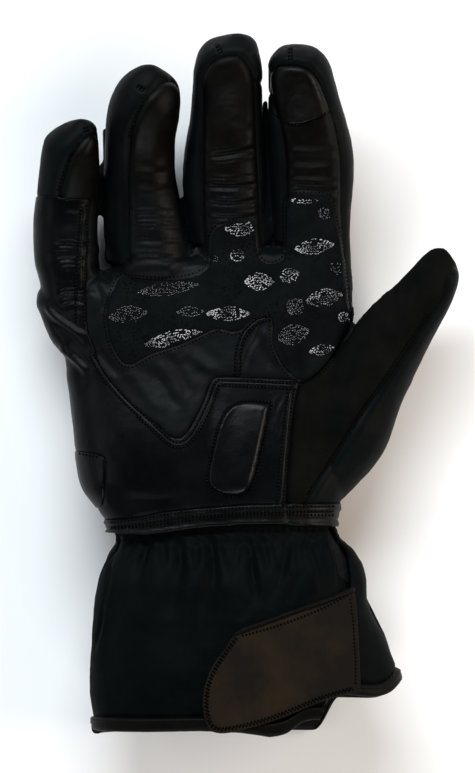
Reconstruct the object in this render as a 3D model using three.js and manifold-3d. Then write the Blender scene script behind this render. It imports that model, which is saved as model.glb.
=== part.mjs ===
// A right-hand winter riding gauntlet, lying on its back with the palm up.
// X runs across the hand towards the thumb, Y runs from the cuff's hem to the fingertips, and Z is up.
// The hand is a hollow sewn shell: four pre-curved fingers and a thumb are lofted through sections, joined to
// the palm, hollowed, and cut along the seams into the panels that the glove is sewn from.
// Patches of a second layer lie on the shell, and a flared cuff with a placket and a strap closes the wrist.
import * as THREE from "three";
import { mergeVertices } from "three/addons/utils/BufferGeometryUtils.js";
import Module from "manifold-3d";

const wasm = await Module();
wasm.setup();

// Driving dimensions, in millimetres and degrees.
const palmWidth = 130; // across the knuckles
const palmLength = 116; // from the wrist to the webs between the fingers
const palmDepth = 42; // from the back to the palm, at mid palm
const fingerAxisHeight = 20; // of the finger roots above the surface that the back lies on
const shellWall = 3; // leather or softshell, membrane and insulation together
const seamGap = 0.4; // the slit that a sewn seam leaves between two panels
const clearance = 0.3; // between a patch and what it lies on

const littleLength = 72.3;
const littleWidth = 27;
const littleCurl = 36; // slope of a finger's end above the surface, in degrees
const ringLength = 89.3;
const ringWidth = 31;
const ringCurl = 33;
const middleLength = 95.6;
const middleWidth = 32;
const middleCurl = 31;
const indexLength = 91;
const indexWidth = 34;
const indexCurl = 31;
const thumbLength = 118;
const thumbWidth = 37;
const thumbCurl = 14;
const fingerDepthShare = 0.86; // a finger's depth as a share of its width

const patchThickness = 1.2; // of the second layer of leather
const gripThickness = 1; // of the suede grip panel
const heelPadHeight = 3.6; // of the foam pad above the leather that it is sewn under
const heelPadBevel = 2.2;

const bandHeight = 8; // of the leather band round the wrist
const bandThickness = 1.6;
const bandOverCuff = 1.5; // how far the band reaches past the shell's edge

const cuffLength = 86.4;
const hemWidth = 131;
const hemDepth = 60;
const cuffWall = 2.6;
const pleatDepth = 1.5; // of the gathers that an elastic pulls into the cuff
const pleatCount = 11;
const gussetRise = 14; // how much shorter the cuff is past the strap, on the thumb side
const cornerRise = 8; // how much more the hem rises to its corner
const gussetTurns = [0.88, 1.12]; // where the hem steps down past the gusset, in radians from the thumb side
const cornerTurn = 0.7; // over which the corner rises
const placketWidth = 7; // of the opening that the strap closes
const gussetThickness = 1;
const gussetStart = 0.09; // where the gusset starts, as a share of the cuff's length
const gussetShort = 3; // from the gusset's lower edge to the binding
const bindingHeight = 5;
const bindingThickness = 1.1;
const strapThickness = 2.2;

// Resolution of the faceted solids. The hollow inside is coarser than the surface.
const palmSides = 28;
const innerPalmSides = 16;
const fingerSides = 12;
const innerFingerSides = 8;
const cuffSides = 4 * pleatCount;
const sectorSteps = 3; // facets of a cutting sector's rim
const reach = 400; // longer than the glove, for cutting tools
const lowestCut = -20;
const highestCut = 140;
const past = 0.1; // how far a tool overshoots the cuff's end, as a share of the cuff's length

// Each row of a finger's table is one section. Along is a share of the finger's length from its root inside the
// palm, sway a sideways shift of the centreline, and width and depth are shares of the finger's own.
const fingers = [
  {
    name: "little",
    length: littleLength,
    width: littleWidth,
    curl: littleCurl,
    rootAcross: -0.455,
    rootUp: 0.837,
    lean: -1,
    roll: 40,
    sections: [
      { along: 0, sway: -0.14, width: 1.08, depth: 1.08 },
      { along: 0.22, sway: -0.2, width: 1.05, depth: 1.06 },
      { along: 0.36, sway: -0.24, width: 1, depth: 1.03 },
      { along: 0.5, sway: -0.235, width: 1.03, depth: 1 },
      { along: 0.64, sway: -0.22, width: 0.98, depth: 1 },
      { along: 0.78, sway: -0.185, width: 0.96, depth: 0.96 },
      { along: 0.89, sway: -0.11, width: 0.8, depth: 0.84 },
      { along: 0.95, sway: -0.02, width: 0.46, depth: 0.54 },
      { along: 0.98, sway: 0, width: 0.18, depth: 0.22 },
    ],
  },
  {
    name: "ring",
    length: ringLength,
    width: ringWidth,
    curl: ringCurl,
    rootAcross: -0.226,
    rootUp: 0.891,
    lean: -1.3,
    roll: 34,
    sections: [
      { along: 0, sway: 0, width: 1.1, depth: 1.06 },
      { along: 0.19, sway: -0.11, width: 1.11, depth: 1.05 },
      { along: 0.47, sway: -0.19, width: 1, depth: 1 },
      { along: 0.61, sway: -0.18, width: 0.975, depth: 1 },
      { along: 0.75, sway: -0.13, width: 1.01, depth: 0.98 },
      { along: 0.86, sway: -0.075, width: 0.935, depth: 0.9 },
      { along: 0.915, sway: -0.05, width: 0.7, depth: 0.74 },
      { along: 0.955, sway: -0.03, width: 0.4, depth: 0.48 },
      { along: 0.975, sway: 0, width: 0.15, depth: 0.2 },
    ],
  },
  {
    name: "middle",
    length: middleLength,
    width: middleWidth,
    curl: middleCurl,
    rootAcross: 0.035,
    rootUp: 0.928,
    lean: 0.5,
    roll: 11,
    sections: [
      { along: 0, sway: -0.02, width: 1.08, depth: 1.06 },
      { along: 0.19, sway: -0.115, width: 1.05, depth: 1.04 },
      { along: 0.34, sway: -0.165, width: 1.12, depth: 1.02 },
      { along: 0.52, sway: -0.168, width: 1.056, depth: 1 },
      { along: 0.65, sway: -0.144, width: 0.97, depth: 1 },
      { along: 0.87, sway: -0.113, width: 0.89, depth: 0.9 },
      { along: 0.935, sway: -0.095, width: 0.78, depth: 0.76 },
      { along: 0.975, sway: -0.015, width: 0.45, depth: 0.5 },
      { along: 0.995, sway: 0, width: 0.16, depth: 0.2 },
    ],
  },
  {
    name: "index",
    length: indexLength,
    width: indexWidth,
    curl: indexCurl,
    rootAcross: 0.287,
    rootUp: 0.928,
    lean: -4.4,
    roll: 6,
    sections: [
      { along: 0, sway: 0, width: 0.94, depth: 1 },
      { along: 0.2, sway: -0.015, width: 0.988, depth: 0.97 },
      { along: 0.41, sway: 0.03, width: 1.06, depth: 0.95 },
      { along: 0.55, sway: 0.06, width: 1.06, depth: 0.94 },
      { along: 0.69, sway: 0.04, width: 0.985, depth: 0.92 },
      { along: 0.82, sway: 0, width: 0.876, depth: 0.88 },
      { along: 0.907, sway: -0.01, width: 0.81, depth: 0.78 },
      { along: 0.95, sway: -0.01, width: 0.73, depth: 0.66 },
      { along: 0.98, sway: -0.012, width: 0.5, depth: 0.42 },
      { along: 0.993, sway: -0.012, width: 0.26, depth: 0.2 },
    ],
  },
  {
    name: "thumb",
    length: thumbLength,
    width: thumbWidth,
    curl: thumbCurl,
    rootAcross: 0.25,
    rootUp: 0.13,
    lean: 31,
    roll: 0,
    sections: [
      { along: 0, sway: 0, width: 0.78, depth: 0.9 },
      { along: 0.13, sway: -0.03, width: 1.02, depth: 1.16 },
      { along: 0.31, sway: -0.045, width: 1.12, depth: 1.2 },
      { along: 0.47, sway: -0.045, width: 0.97, depth: 1.1 },
      { along: 0.66, sway: -0.015, width: 0.79, depth: 0.93 },
      { along: 0.84, sway: 0.02, width: 0.67, depth: 0.78 },
      { along: 0.93, sway: 0, width: 0.56, depth: 0.62 },
      { along: 0.975, sway: -0.05, width: 0.36, depth: 0.4 },
      { along: 0.993, sway: -0.08, width: 0.16, depth: 0.18 },
    ],
  },
];

// The palm's sections, from the wrist to the webs. Up is a share of the palm's length, left and right are shares
// of its width, bottom and top are shares of its depth, and tilt turns the section towards the little finger.
const palmSections = [
  { up: 0, left: -0.361, right: 0.352, bottom: 0.12, top: 1.07, tilt: 0 },
  { up: 0.09, left: -0.41, right: 0.362, bottom: 0.06, top: 1.09, tilt: 0 },
  { up: 0.19, left: -0.465, right: 0.4, bottom: -0.03, top: 1.12, tilt: 0 },
  { up: 0.34, left: -0.485, right: 0.41, bottom: -0.06, top: 1.08, tilt: 0 },
  { up: 0.53, left: -0.502, right: 0.412, bottom: -0.06, top: 0.98, tilt: 0 },
  { up: 0.67, left: -0.503, right: 0.41, bottom: -0.06, top: 0.94, tilt: 3 },
  { up: 0.8, left: -0.552, right: 0.41, bottom: -0.05, top: 0.91, tilt: 6 },
  { up: 0.9, left: -0.574, right: 0.41, bottom: 0, top: 0.87, tilt: 9 },
  { up: 0.965, left: -0.55, right: 0.385, bottom: 0.12, top: 0.76, tilt: 9 },
  { up: 1, left: -0.49, right: 0.34, bottom: 0.26, top: 0.6, tilt: 9 },
];
const palmRoundness = 2.5; // 2 is an ellipse, and more is squarer
const fingerRoundness = 2.2;
const smallestHalfSize = 0.4; // of a finger's section at its very end
const tipStart = 0.8; // the share of a finger's length from which its end grows or shrinks lengthways too

// The cuff's sections, from the gathers at the wrist to the hem. Down is a share of the cuff's length, left and
// right are shares of the hem's width, bottom and top are shares of its depth, and gather of the pleats' depth.
const neckDown = 0.035; // where the cuff still has the wrist's own shape
const cuffSections = [
  { down: 0.1, left: -0.362, right: 0.376, bottom: 0.04, top: 0.77, gather: 1 },
  { down: 0.18, left: -0.378, right: 0.4, bottom: 0.01, top: 0.81, gather: 0.85 },
  { down: 0.3, left: -0.411, right: 0.43, bottom: -0.02, top: 0.88, gather: 0.4 },
  { down: 0.46, left: -0.431, right: 0.46, bottom: -0.03, top: 0.94, gather: 0 },
  { down: 0.7, left: -0.44, right: 0.505, bottom: -0.04, top: 0.99, gather: 0 },
  { down: 1, left: -0.428, right: 0.562, bottom: -0.02, top: 1, gather: 0 },
];
const cuffRoundness = 2.3;

// Where the palm's leather and the back's softshell meet, as shares of the palm's and the hem's depth.
const sideSeamHeight = 0.42;
const cuffSeamHeight = 0.5;

// Half the angle that a finger's palm strip takes up round the finger, narrowing to an arch over the pad.
const stripAngles = [
  { along: 0.06, angle: 46 },
  { along: 0.3, angle: 46 },
  { along: 0.56, angle: 46 },
  { along: 0.8, angle: 46 },
  { along: 0.89, angle: 34 },
  { along: 0.935, angle: 12 },
];
const sideWallAngle = 112; // where a side wall meets the back, measured from the middle of the palm strip
const sideWallStops = [0.1, 0.3, 0.56, 0.8]; // shares of a finger's length, shared with the strips
const webReach = 20; // how far past the finger roots the fourchettes' webs lie
const webShare = 0.03; // how far before the palm's end the palm leather stops, as a share of the palm's length
const webDrop = 9; // how far the webs reach below the fingers' axes
const sectorReach = 1.12; // of a cutting sector, as a share of the finger's half width

// Outlines of the second layer, seen from above. Across is a share of the palm's width from the middle of the
// wrist, and up is a share of the palm's length from the wrist. A point on a finger is given by shares of that
// finger's length and width instead.
const gripOutline = [
  { on: "index", along: 0.342, across: -0.273 },
  { on: "index", along: 0.367, across: -0.195 },
  { on: "index", along: 0.358, across: 0.114 },
  { on: "index", along: 0.319, across: 0.205 },
  { on: "index", along: 0.213, across: 0.294 },
  { across: 0.375, up: 0.985 },
  { across: 0.392, up: 0.845 },
  { across: 0.405, up: 0.765 },
  { across: 0.378, up: 0.696 },
  { across: 0.335, up: 0.632 },
  { across: 0.245, up: 0.552 },
  { across: 0.184, up: 0.612 },
  { across: 0.155, up: 0.692 },
  { across: 0.152, up: 0.772 },
  { across: 0.106, up: 0.754 },
  { across: 0.058, up: 0.707 },
  { across: -0.077, up: 0.696 },
  { across: -0.21, up: 0.645 },
  { across: -0.306, up: 0.583 },
  { across: -0.358, up: 0.649 },
  { across: -0.381, up: 0.764 },
  { across: -0.362, up: 0.848 },
  { across: -0.242, up: 0.893 },
  { across: -0.139, up: 0.917 },
  { across: -0.052, up: 0.957 },
  { on: "middle", along: 0.145, across: -0.317 },
  { on: "middle", along: 0.221, across: -0.237 },
  { on: "middle", along: 0.251, across: 0.022 },
  { on: "middle", along: 0.222, across: 0.197 },
  { on: "middle", along: 0.139, across: 0.236 },
  { across: 0.119, up: 0.975 },
  { across: 0.165, up: 0.957 },
  { across: 0.197, up: 0.985 },
  { on: "index", along: 0.198, across: -0.28 },
];
const outerPanelOutline = [
  { on: "little", along: 0.655, across: -1.15 },
  { on: "little", along: 0.61, across: -0.313 },
  { on: "little", along: 0.581, across: -0.112 },
  { on: "little", along: 0.562, across: 0.152 },
  { on: "little", along: 0.419, across: 0.15 },
  { across: -0.445, up: 0.953 },
  { across: -0.448, up: 0.8 },
  { across: -0.435, up: 0.7 },
  { across: -0.387, up: 0.583 },
  { across: -0.297, up: 0.46 },
  { across: -0.181, up: 0.351 },
  { across: -0.145, up: 0.33 },
  { across: -0.113, up: 0.355 },
  { across: -0.074, up: 0.449 },
  { across: -0.045, up: 0.528 },
  { across: -0.026, up: 0.542 },
  { across: 0.222, up: 0.534 },
  { across: 0.205, up: 0.438 },
  { across: 0.185, up: 0.239 },
  { across: 0.165, up: 0.075 },
  { across: -0.7, up: 0.075 },
];
const heelPadOutline = [
  { across: 0.015, up: 0.445 },
  { across: 0.045, up: 0.464 },
  { across: 0.14, up: 0.464 },
  { across: 0.136, up: 0.4 },
  { across: 0.098, up: 0.218 },
  { across: 0.075, up: 0.147 },
  { across: 0.035, up: 0.133 },
  { across: -0.03, up: 0.143 },
  { across: -0.06, up: 0.178 },
  { across: -0.053, up: 0.235 },
  { across: -0.018, up: 0.34 },
];
const edgePatchOutline = [
  { across: -0.7, up: 0.285 },
  { across: -0.48, up: 0.28 },
  { across: -0.378, up: 0.265 },
  { across: -0.374, up: 0.22 },
  { across: -0.385, up: 0.12 },
  { across: -0.7, up: 0.12 },
];
const touchTipAlong = 0.8; // the patch lies above the middle of the finger at this share of its length
const touchTipOutline = [
  { on: "index", along: 0.725, across: -0.327 },
  { on: "index", along: 0.695, across: -0.245 },
  { on: "index", along: 0.675, across: -0.042 },
  { on: "index", along: 0.69, across: 0.122 },
  { on: "index", along: 0.724, across: 0.34 },
  { on: "index", along: 0.807, across: 0.304 },
  { on: "index", along: 0.891, across: 0.199 },
  { on: "index", along: 0.919, across: 0.052 },
  { on: "index", along: 0.925, across: -0.139 },
  { on: "index", along: 0.899, across: -0.279 },
  { on: "index", along: 0.813, across: -0.335 },
];
// The seam between the thumb and the palm, and the seam along the thumb.
const thumbRootSeam = [
  { across: 0.165, up: -0.2 },
  { across: 0.168, up: 0.075 },
  { across: 0.188, up: 0.239 },
  { across: 0.208, up: 0.438 },
  { across: 0.238, up: 0.545 },
  { across: 0.335, up: 0.625 },
  { across: 0.38, up: 0.69 },
  { across: 0.426, up: 0.758 },
  { across: 0.62, up: 1.5 },
];
const thumbSeam = [
  { across: 0.24, up: -0.2 },
  { across: 0.262, up: 0.1 },
  { on: "thumb", along: 0.164, across: 0.142 },
  { on: "thumb", along: 0.526, across: 0.183 },
  { on: "thumb", along: 0.748, across: 0.21 },
  { on: "thumb", along: 0.863, across: 0.229 },
  { on: "thumb", along: 1.44, across: -0.502 },
];
// On the cuff, across is a share of the hem's width and down a share of the cuff's length.
const strapOutline = [
  { across: 0.4, down: 0.3 },
  { across: 0.24, down: 0.385 },
  { across: 0.055, down: 0.475 },
  { across: -0.03, down: 0.63 },
  { across: -0.066, down: 0.78 },
  { across: -0.066, down: 0.9 },
  { across: -0.045, down: 0.945 },
  { across: 0.02, down: 0.945 },
  { across: 0.11, down: 0.915 },
  { across: 0.23, down: 0.84 },
  { across: 0.424, down: 0.755 },
];
const placketEdge = [
  { across: 0.325, down: -0.1 },
  { across: 0.335, down: 0.06 },
  { across: 0.355, down: 0.3 },
  { across: 0.36, down: 0.7 },
  { across: 0.345, down: 0.86 },
  { across: 0.3, down: 1.15 },
];

const radians = THREE.MathUtils.degToRad;
const signedPower = (v, p) => Math.sign(v) * Math.abs(v) ** p;

const fingerNamed = (name) => fingers.find((f) => f.name === name);

// A closed three.js geometry as a manifold solid, and back.
function solidOf(geometry) {
  const bare = (geometry.index ? geometry.toNonIndexed() : geometry).clone();
  bare.deleteAttribute("normal");
  bare.deleteAttribute("uv");
  const merged = mergeVertices(bare, 1e-4);
  return new wasm.Manifold(
    new wasm.Mesh({
      numProp: 3,
      vertProperties: merged.attributes.position.array,
      triVerts: new Uint32Array(merged.index.array),
    }),
  );
}

function geometryOf(solid) {
  const mesh = solid.getMesh();
  const geometry = new THREE.BufferGeometry();
  geometry.setAttribute("position", new THREE.BufferAttribute(mesh.vertProperties, 3));
  geometry.setIndex(new THREE.BufferAttribute(mesh.triVerts, 1));
  geometry.computeVertexNormals();
  return geometry;
}

// Joins rings of points, each running anticlockwise seen from the loft's end, into one closed solid.
function loft(rings) {
  const sides = rings[0].length;
  const points = rings.flat();
  const faces = [];
  for (let r = 0; r + 1 < rings.length; r++) {
    for (let k = 0; k < sides; k++) {
      const a = r * sides + k;
      const b = r * sides + ((k + 1) % sides);
      faces.push(a, b, a + sides, b, b + sides, a + sides);
    }
  }
  const capEnd = (ring, outwards) => {
    const centre = ring.reduce((sum, p) => sum.add(p), new THREE.Vector3());
    points.push(centre.divideScalar(sides));
    const middle = points.length - 1;
    const first = outwards ? (rings.length - 1) * sides : 0;
    for (let k = 0; k < sides; k++) {
      const a = first + k;
      const b = first + ((k + 1) % sides);
      faces.push(...(outwards ? [a, b, middle] : [b, a, middle]));
    }
  };
  capEnd(rings[0], false);
  capEnd(rings[rings.length - 1], true);
  const geometry = new THREE.BufferGeometry().setFromPoints(points);
  geometry.setIndex(faces);
  return solidOf(geometry);
}

// A finger's sections as frames in space: where each centre is, and which way is across and up there.
function fingerFrames(finger) {
  const lean = radians(finger.lean);
  const forward = new THREE.Vector3(Math.sin(lean), Math.cos(lean), 0);
  const sideways = new THREE.Vector3(forward.y, -forward.x, 0);
  const root = new THREE.Vector3(
    finger.rootAcross * palmWidth,
    finger.rootUp * palmLength,
    fingerAxisHeight,
  );
  const curlRise = (finger.length * Math.tan(radians(finger.curl))) / 2;
  const centres = finger.sections.map((s) =>
    root
      .clone()
      .addScaledVector(forward, s.along * finger.length)
      .addScaledVector(sideways, s.sway * finger.width)
      .setZ(fingerAxisHeight + curlRise * s.along ** 2),
  );
  const last = centres.length - 1;
  return finger.sections.map((s, i) => {
    const tangent = centres[Math.min(i + 1, last)]
      .clone()
      .sub(centres[Math.max(i - 1, 0)])
      .normalize();
    const across = tangent.clone().cross(new THREE.Vector3(0, 0, 1)).normalize();
    const up = across.clone().cross(tangent).normalize();
    return { ...s, centre: centres[i], tangent, across, up };
  });
}

// The first, the last and every other one between, for the coarser inside.
const everyOther = (list) => list.filter((_, i) => i % 2 === 0 || i === list.length - 1);

// A finger as a solid whose surface lies the distance grow outside the glove's own.
function fingerSolid(finger, grow) {
  const depth = finger.width * fingerDepthShare;
  const frames = fingerFrames(finger);
  const isInside = grow < 0;
  const sides = isInside ? innerFingerSides : fingerSides;
  const used = isInside ? everyOther(frames) : frames;
  const rings = used.map((f) => {
    const endShift = grow * THREE.MathUtils.smoothstep(f.along, tipStart, 1);
    const halfWidth = Math.max((f.width * finger.width) / 2 + grow, smallestHalfSize);
    const halfDepth = Math.max((f.depth * depth) / 2 + grow, smallestHalfSize);
    return Array.from({ length: sides }, (_, k) => {
      const turn = (2 * Math.PI * k) / sides;
      const x = signedPower(Math.cos(turn), 2 / fingerRoundness) * halfWidth;
      const z = signedPower(Math.sin(turn), 2 / fingerRoundness) * halfDepth;
      const p = f.centre
        .clone()
        .addScaledVector(f.tangent, endShift)
        .addScaledVector(f.across, x)
        .addScaledVector(f.up, z);
      return p.setZ(Math.max(p.z, -grow));
    }).reverse();
  });
  return loft(rings);
}

// One ring round the palm or the cuff: a squared ellipse that is flat where it would pass below the floor.
function bodyRing({ left, right, bottom, top, y, sides, roundness, floor, tilt = 0, gather = 0 }) {
  const middle = (left + right) / 2;
  const slope = Math.tan(radians(tilt));
  return Array.from({ length: sides }, (_, k) => {
    const turn = (2 * Math.PI * k) / sides;
    const fold = gather * Math.cos(pleatCount * turn);
    const halfWidth = (right - left) / 2 + fold;
    const halfHeight = (top - bottom) / 2 + fold;
    const x = middle + signedPower(Math.cos(turn), 2 / roundness) * halfWidth;
    const z = (top + bottom) / 2 + signedPower(Math.sin(turn), 2 / roundness) * halfHeight;
    return new THREE.Vector3(x, y(turn) + slope * x, Math.max(z, floor));
  }).reverse();
}

function palmRing(row, grow, y) {
  return bodyRing({
    left: row.left * palmWidth - grow,
    right: row.right * palmWidth + grow,
    bottom: row.bottom * palmDepth - grow,
    top: row.top * palmDepth + grow,
    y: () => y,
    sides: grow < 0 ? innerPalmSides : palmSides,
    roundness: palmRoundness,
    floor: -grow,
    tilt: row.tilt,
  });
}

// The palm, grown by a distance, and reaching past the wrist by an extension.
function palmSolid(grow, extension) {
  const rings = [palmRing(palmSections[0], grow, -extension)];
  const used = grow < 0 ? everyOther(palmSections) : palmSections;
  for (const row of used) {
    const isEnd = row === palmSections.at(-1);
    const y = row.up * palmLength + (isEnd ? grow : 0);
    if (y > -extension) rings.push(palmRing(row, grow, y));
  }
  return loft(rings);
}

// The whole hand, with its surface moved outwards by grow, or inwards if grow is negative.
function handSolid(grow, extension = 0) {
  return fingers.reduce(
    (whole, finger) => whole.add(fingerSolid(finger, grow)),
    palmSolid(grow, extension),
  );
}

// How far the hem rises above the cuff's full length, by the turn round the cuff: 0 is the thumb side.
function hemRise(turn) {
  const fromThumb = Math.abs(Math.atan2(Math.sin(turn), Math.cos(turn)));
  const gusset = 1 - THREE.MathUtils.smoothstep(fromThumb, ...gussetTurns);
  const corner = 1 - THREE.MathUtils.smoothstep(fromThumb, 0, cornerTurn);
  return gussetRise * gusset + cornerRise * corner;
}

function cuffY(down, turn) {
  return -down * (cuffLength - hemRise(turn));
}

// The cuff's rows with the neck's added, and a row at any share of the length.
const wristRow = palmSections[0];
const cuffRows = [
  {
    down: neckDown,
    left: (wristRow.left * palmWidth) / hemWidth,
    right: (wristRow.right * palmWidth) / hemWidth,
    bottom: (wristRow.bottom * palmDepth) / hemDepth,
    top: (wristRow.top * palmDepth) / hemDepth,
    gather: 0,
  },
  ...cuffSections,
];
const cuffInterpolant = new THREE.LinearInterpolant(
  cuffRows.map((row) => row.down),
  cuffRows.flatMap((row) => [row.left, row.right, row.bottom, row.top, row.gather]),
  5,
);

function cuffRing(grow, down) {
  const [left, right, bottom, top, gather] = cuffInterpolant.evaluate(down);
  const isInside = grow < 0;
  return bodyRing({
    left: left * hemWidth - grow,
    right: right * hemWidth + grow,
    bottom: bottom * hemDepth - grow,
    top: top * hemDepth + grow,
    y: (turn) => cuffY(down, turn),
    sides: cuffSides,
    roundness: cuffRoundness,
    floor: bindingThickness + clearance - grow,
    gather: isInside ? 0 : gather * pleatDepth,
  });
}

// The cuff, grown by a distance, from one share of its length to another. It may run past both its ends.
function cuffSolid(grow, startDown, endDown) {
  const between = cuffRows.map((row) => row.down).filter((d) => d > startDown && d < endDown);
  const rings = [startDown, ...between, endDown].map((down) => cuffRing(grow, down));
  return loft(rings.map((ring) => ring.reverse()));
}

// A point of an outline, seen from above.
function handPoint({ on, along, across, up }) {
  if (!on) return new THREE.Vector2(across * palmWidth, up * palmLength);
  const finger = fingerNamed(on);
  const lean = radians(finger.lean);
  const root = new THREE.Vector2(finger.rootAcross * palmWidth, finger.rootUp * palmLength);
  const forward = new THREE.Vector2(Math.sin(lean), Math.cos(lean));
  const sideways = new THREE.Vector2(forward.y, -forward.x);
  return root
    .addScaledVector(forward, along * finger.length)
    .addScaledVector(sideways, across * finger.width);
}

const cuffPoint = ({ across, down }) => new THREE.Vector2(across * hemWidth, -down * cuffLength);

// A prism over an outline, between two heights.
function prism(points, low = lowestCut, high = highestCut) {
  const shape = new THREE.Shape(points);
  const geometry = new THREE.ExtrudeGeometry(shape, { depth: high - low, bevelEnabled: false });
  return solidOf(geometry.translate(0, 0, low));
}

function box(left, right, front, back, low, high) {
  const geometry = new THREE.BoxGeometry(right - left, back - front, high - low);
  return solidOf(geometry.translate((left + right) / 2, (front + back) / 2, (low + high) / 2));
}

// Everything on the thumb side of a line of points, moved over by shift, down to the height low.
function thumbSideOf(line, shift, low) {
  const moved = line.map((p) => new THREE.Vector2(p.x + shift, p.y));
  const end = moved[moved.length - 1];
  const outline = [...moved, new THREE.Vector2(reach, end.y), new THREE.Vector2(reach, moved[0].y)];
  return prism(outline, low);
}

// A sector of a finger, between two angles from the middle of its palm strip, as a tapered wedge.
function fingerSector(finger, stops, fromTo) {
  const frames = fingerFrames(finger);
  const along = frames.map((f) => f.along);
  const column = (pick) => frames.flatMap(pick);
  const centreAt = new THREE.LinearInterpolant(along, column((f) => f.centre.toArray()), 3);
  const acrossAt = new THREE.LinearInterpolant(along, column((f) => f.across.toArray()), 3);
  const upAt = new THREE.LinearInterpolant(along, column((f) => f.up.toArray()), 3);
  const widthAt = new THREE.LinearInterpolant(along, column((f) => [f.width]), 1);
  const rings = stops.map((stop) => {
    const centre = new THREE.Vector3(...centreAt.evaluate(stop.along));
    const across = new THREE.Vector3(...acrossAt.evaluate(stop.along));
    const up = new THREE.Vector3(...upAt.evaluate(stop.along));
    const radius = (widthAt.evaluate(stop.along)[0] * finger.width * sectorReach) / 2;
    const [from, to] = fromTo(stop);
    const ring = [centre.clone()];
    for (let i = 0; i <= sectorSteps; i++) {
      const turn = radians(finger.roll + from + ((to - from) * i) / sectorSteps);
      ring.push(
        centre
          .clone()
          .addScaledVector(across, Math.sin(turn) * radius)
          .addScaledVector(up, Math.cos(turn) * radius),
      );
    }
    return ring;
  });
  return loft(rings);
}

const angleOfGap = (finger) => THREE.MathUtils.radToDeg(seamGap / (finger.width / 2));

function palmStrip(finger, spread) {
  const shift = (spread * seamGap) / finger.length;
  const stops = stripAngles.map((s, i) => ({ ...s, along: s.along + (i ? shift : -shift) }));
  const extra = spread * angleOfGap(finger);
  return fingerSector(finger, stops, (s) => [-s.angle - extra, s.angle + extra]);
}

function sideWall(finger, side, spread) {
  const extra = spread * angleOfGap(finger);
  const inner = stripAngles[0].angle + angleOfGap(finger) - extra;
  const outer = sideWallAngle + extra;
  const range = side > 0 ? [inner, outer] : [-outer, -inner];
  const shift = (spread * seamGap) / finger.length;
  const stops = sideWallStops.map((along, i) => {
    if (i === 0) return along - shift;
    return i === sideWallStops.length - 1 ? along + shift : along;
  });
  return fingerSector(
    finger,
    stops.map((along) => ({ along })),
    () => range,
  );
}

// The hollow hand, and the tools that cut it into panels.
const hand = handSolid(0).subtract(handSolid(-shellWall, seamGap * 2));
const digits = fingers.filter((f) => f.name !== "thumb");
const thumbRoot = thumbRootSeam.map(handPoint);
const thumbLine = thumbSeam.map(handPoint);
const seamLevel = sideSeamHeight * palmDepth;
const webLine = palmLength * (palmSections.at(-1).up - webShare);
const webSlope = Math.tan(radians(palmSections.at(-1).tilt));
const palmSlab = (spread) =>
  prism(
    [
      new THREE.Vector2(-reach, -reach),
      new THREE.Vector2(reach, -reach),
      new THREE.Vector2(reach, webLine + webSlope * reach + spread),
      new THREE.Vector2(-reach, webLine - webSlope * reach + spread),
    ],
    seamLevel - spread,
  );
const thumbZone = (shift) => thumbSideOf(thumbRoot, shift, lowestCut);
const thumbBackZone = (shift) => thumbSideOf(thumbLine, shift, lowestCut);
// Everything above a slope that follows the thumb's middle from its root to its tip.
const aboveThumb = (shift) => {
  const { rootAcross, rootUp, curl, lean } = fingerNamed("thumb");
  const slab = new THREE.BoxGeometry(reach * 2, reach * 2, reach).translate(0, 0, reach / 2);
  slab.rotateX(Math.atan(Math.tan(radians(curl)) / 2)).rotateZ(-radians(lean));
  return solidOf(slab.translate(rootAcross * palmWidth, rootUp * palmLength, seamLevel + shift));
};
const palmZone = (spread) =>
  digits.reduce((zone, f) => zone.add(palmStrip(f, spread)), palmSlab(spread * seamGap));

// The gussets between the fingers: each runs up the sides of two neighbours and joins them at the web.
const fourchettes = [
  { left: "little", right: "ring" },
  { left: "ring", right: "middle" },
  { left: "middle", right: "index" },
];
// The stretch of shell between two fingers' roots, where their fourchette turns round the web.
function webBlock(left, right, spread) {
  const grow = spread * seamGap;
  const [a, b] = [left, right].map((finger) => fingerFrames(finger)[0].centre);
  const webEnd = Math.max(a.y, b.y) + webReach + grow;
  const webStart = Math.min(a.y, b.y) - grow;
  const low = fingerAxisHeight - webDrop - grow;
  return box(a.x, b.x, webStart, webEnd, low, palmDepth);
}
const fourchetteZone = ({ left, right }, spread) =>
  sideWall(fingerNamed(left), 1, spread)
    .add(sideWall(fingerNamed(right), -1, spread))
    .add(webBlock(fingerNamed(left), fingerNamed(right), spread));

const pieces = new Map();
const handWithoutThumb = hand.subtract(thumbZone(-seamGap));
const thumb = hand.intersect(thumbZone(0));
pieces.set("palm_leather", handWithoutThumb.intersect(palmZone(0)).intersect(palmZone(1)));
let back = handWithoutThumb.subtract(palmZone(1));
for (const pair of fourchettes) {
  const clearZone = fourchetteZone(pair, 1);
  const piece = handWithoutThumb.subtract(palmZone(1)).intersect(clearZone);
  pieces.set(`${pair.left}_${pair.right}_fourchette`, piece.intersect(fourchetteZone(pair, 0)));
  back = back.subtract(clearZone);
}
pieces.set("back_shell", back);
pieces.set("thumb_palm_panel", thumb.subtract(thumbBackZone(-seamGap)).intersect(aboveThumb(0)));
pieces.set("thumb_back_panel", thumb.subtract(aboveThumb(-seamGap).subtract(thumbBackZone(0))));

// A patch of an extra layer over an outline: between two distances from the shell, above a height.
function patch(outline, inner, outer, low) {
  return prism(outline.map(handPoint), low).intersect(handSolid(outer).subtract(handSolid(inner)));
}

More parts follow.
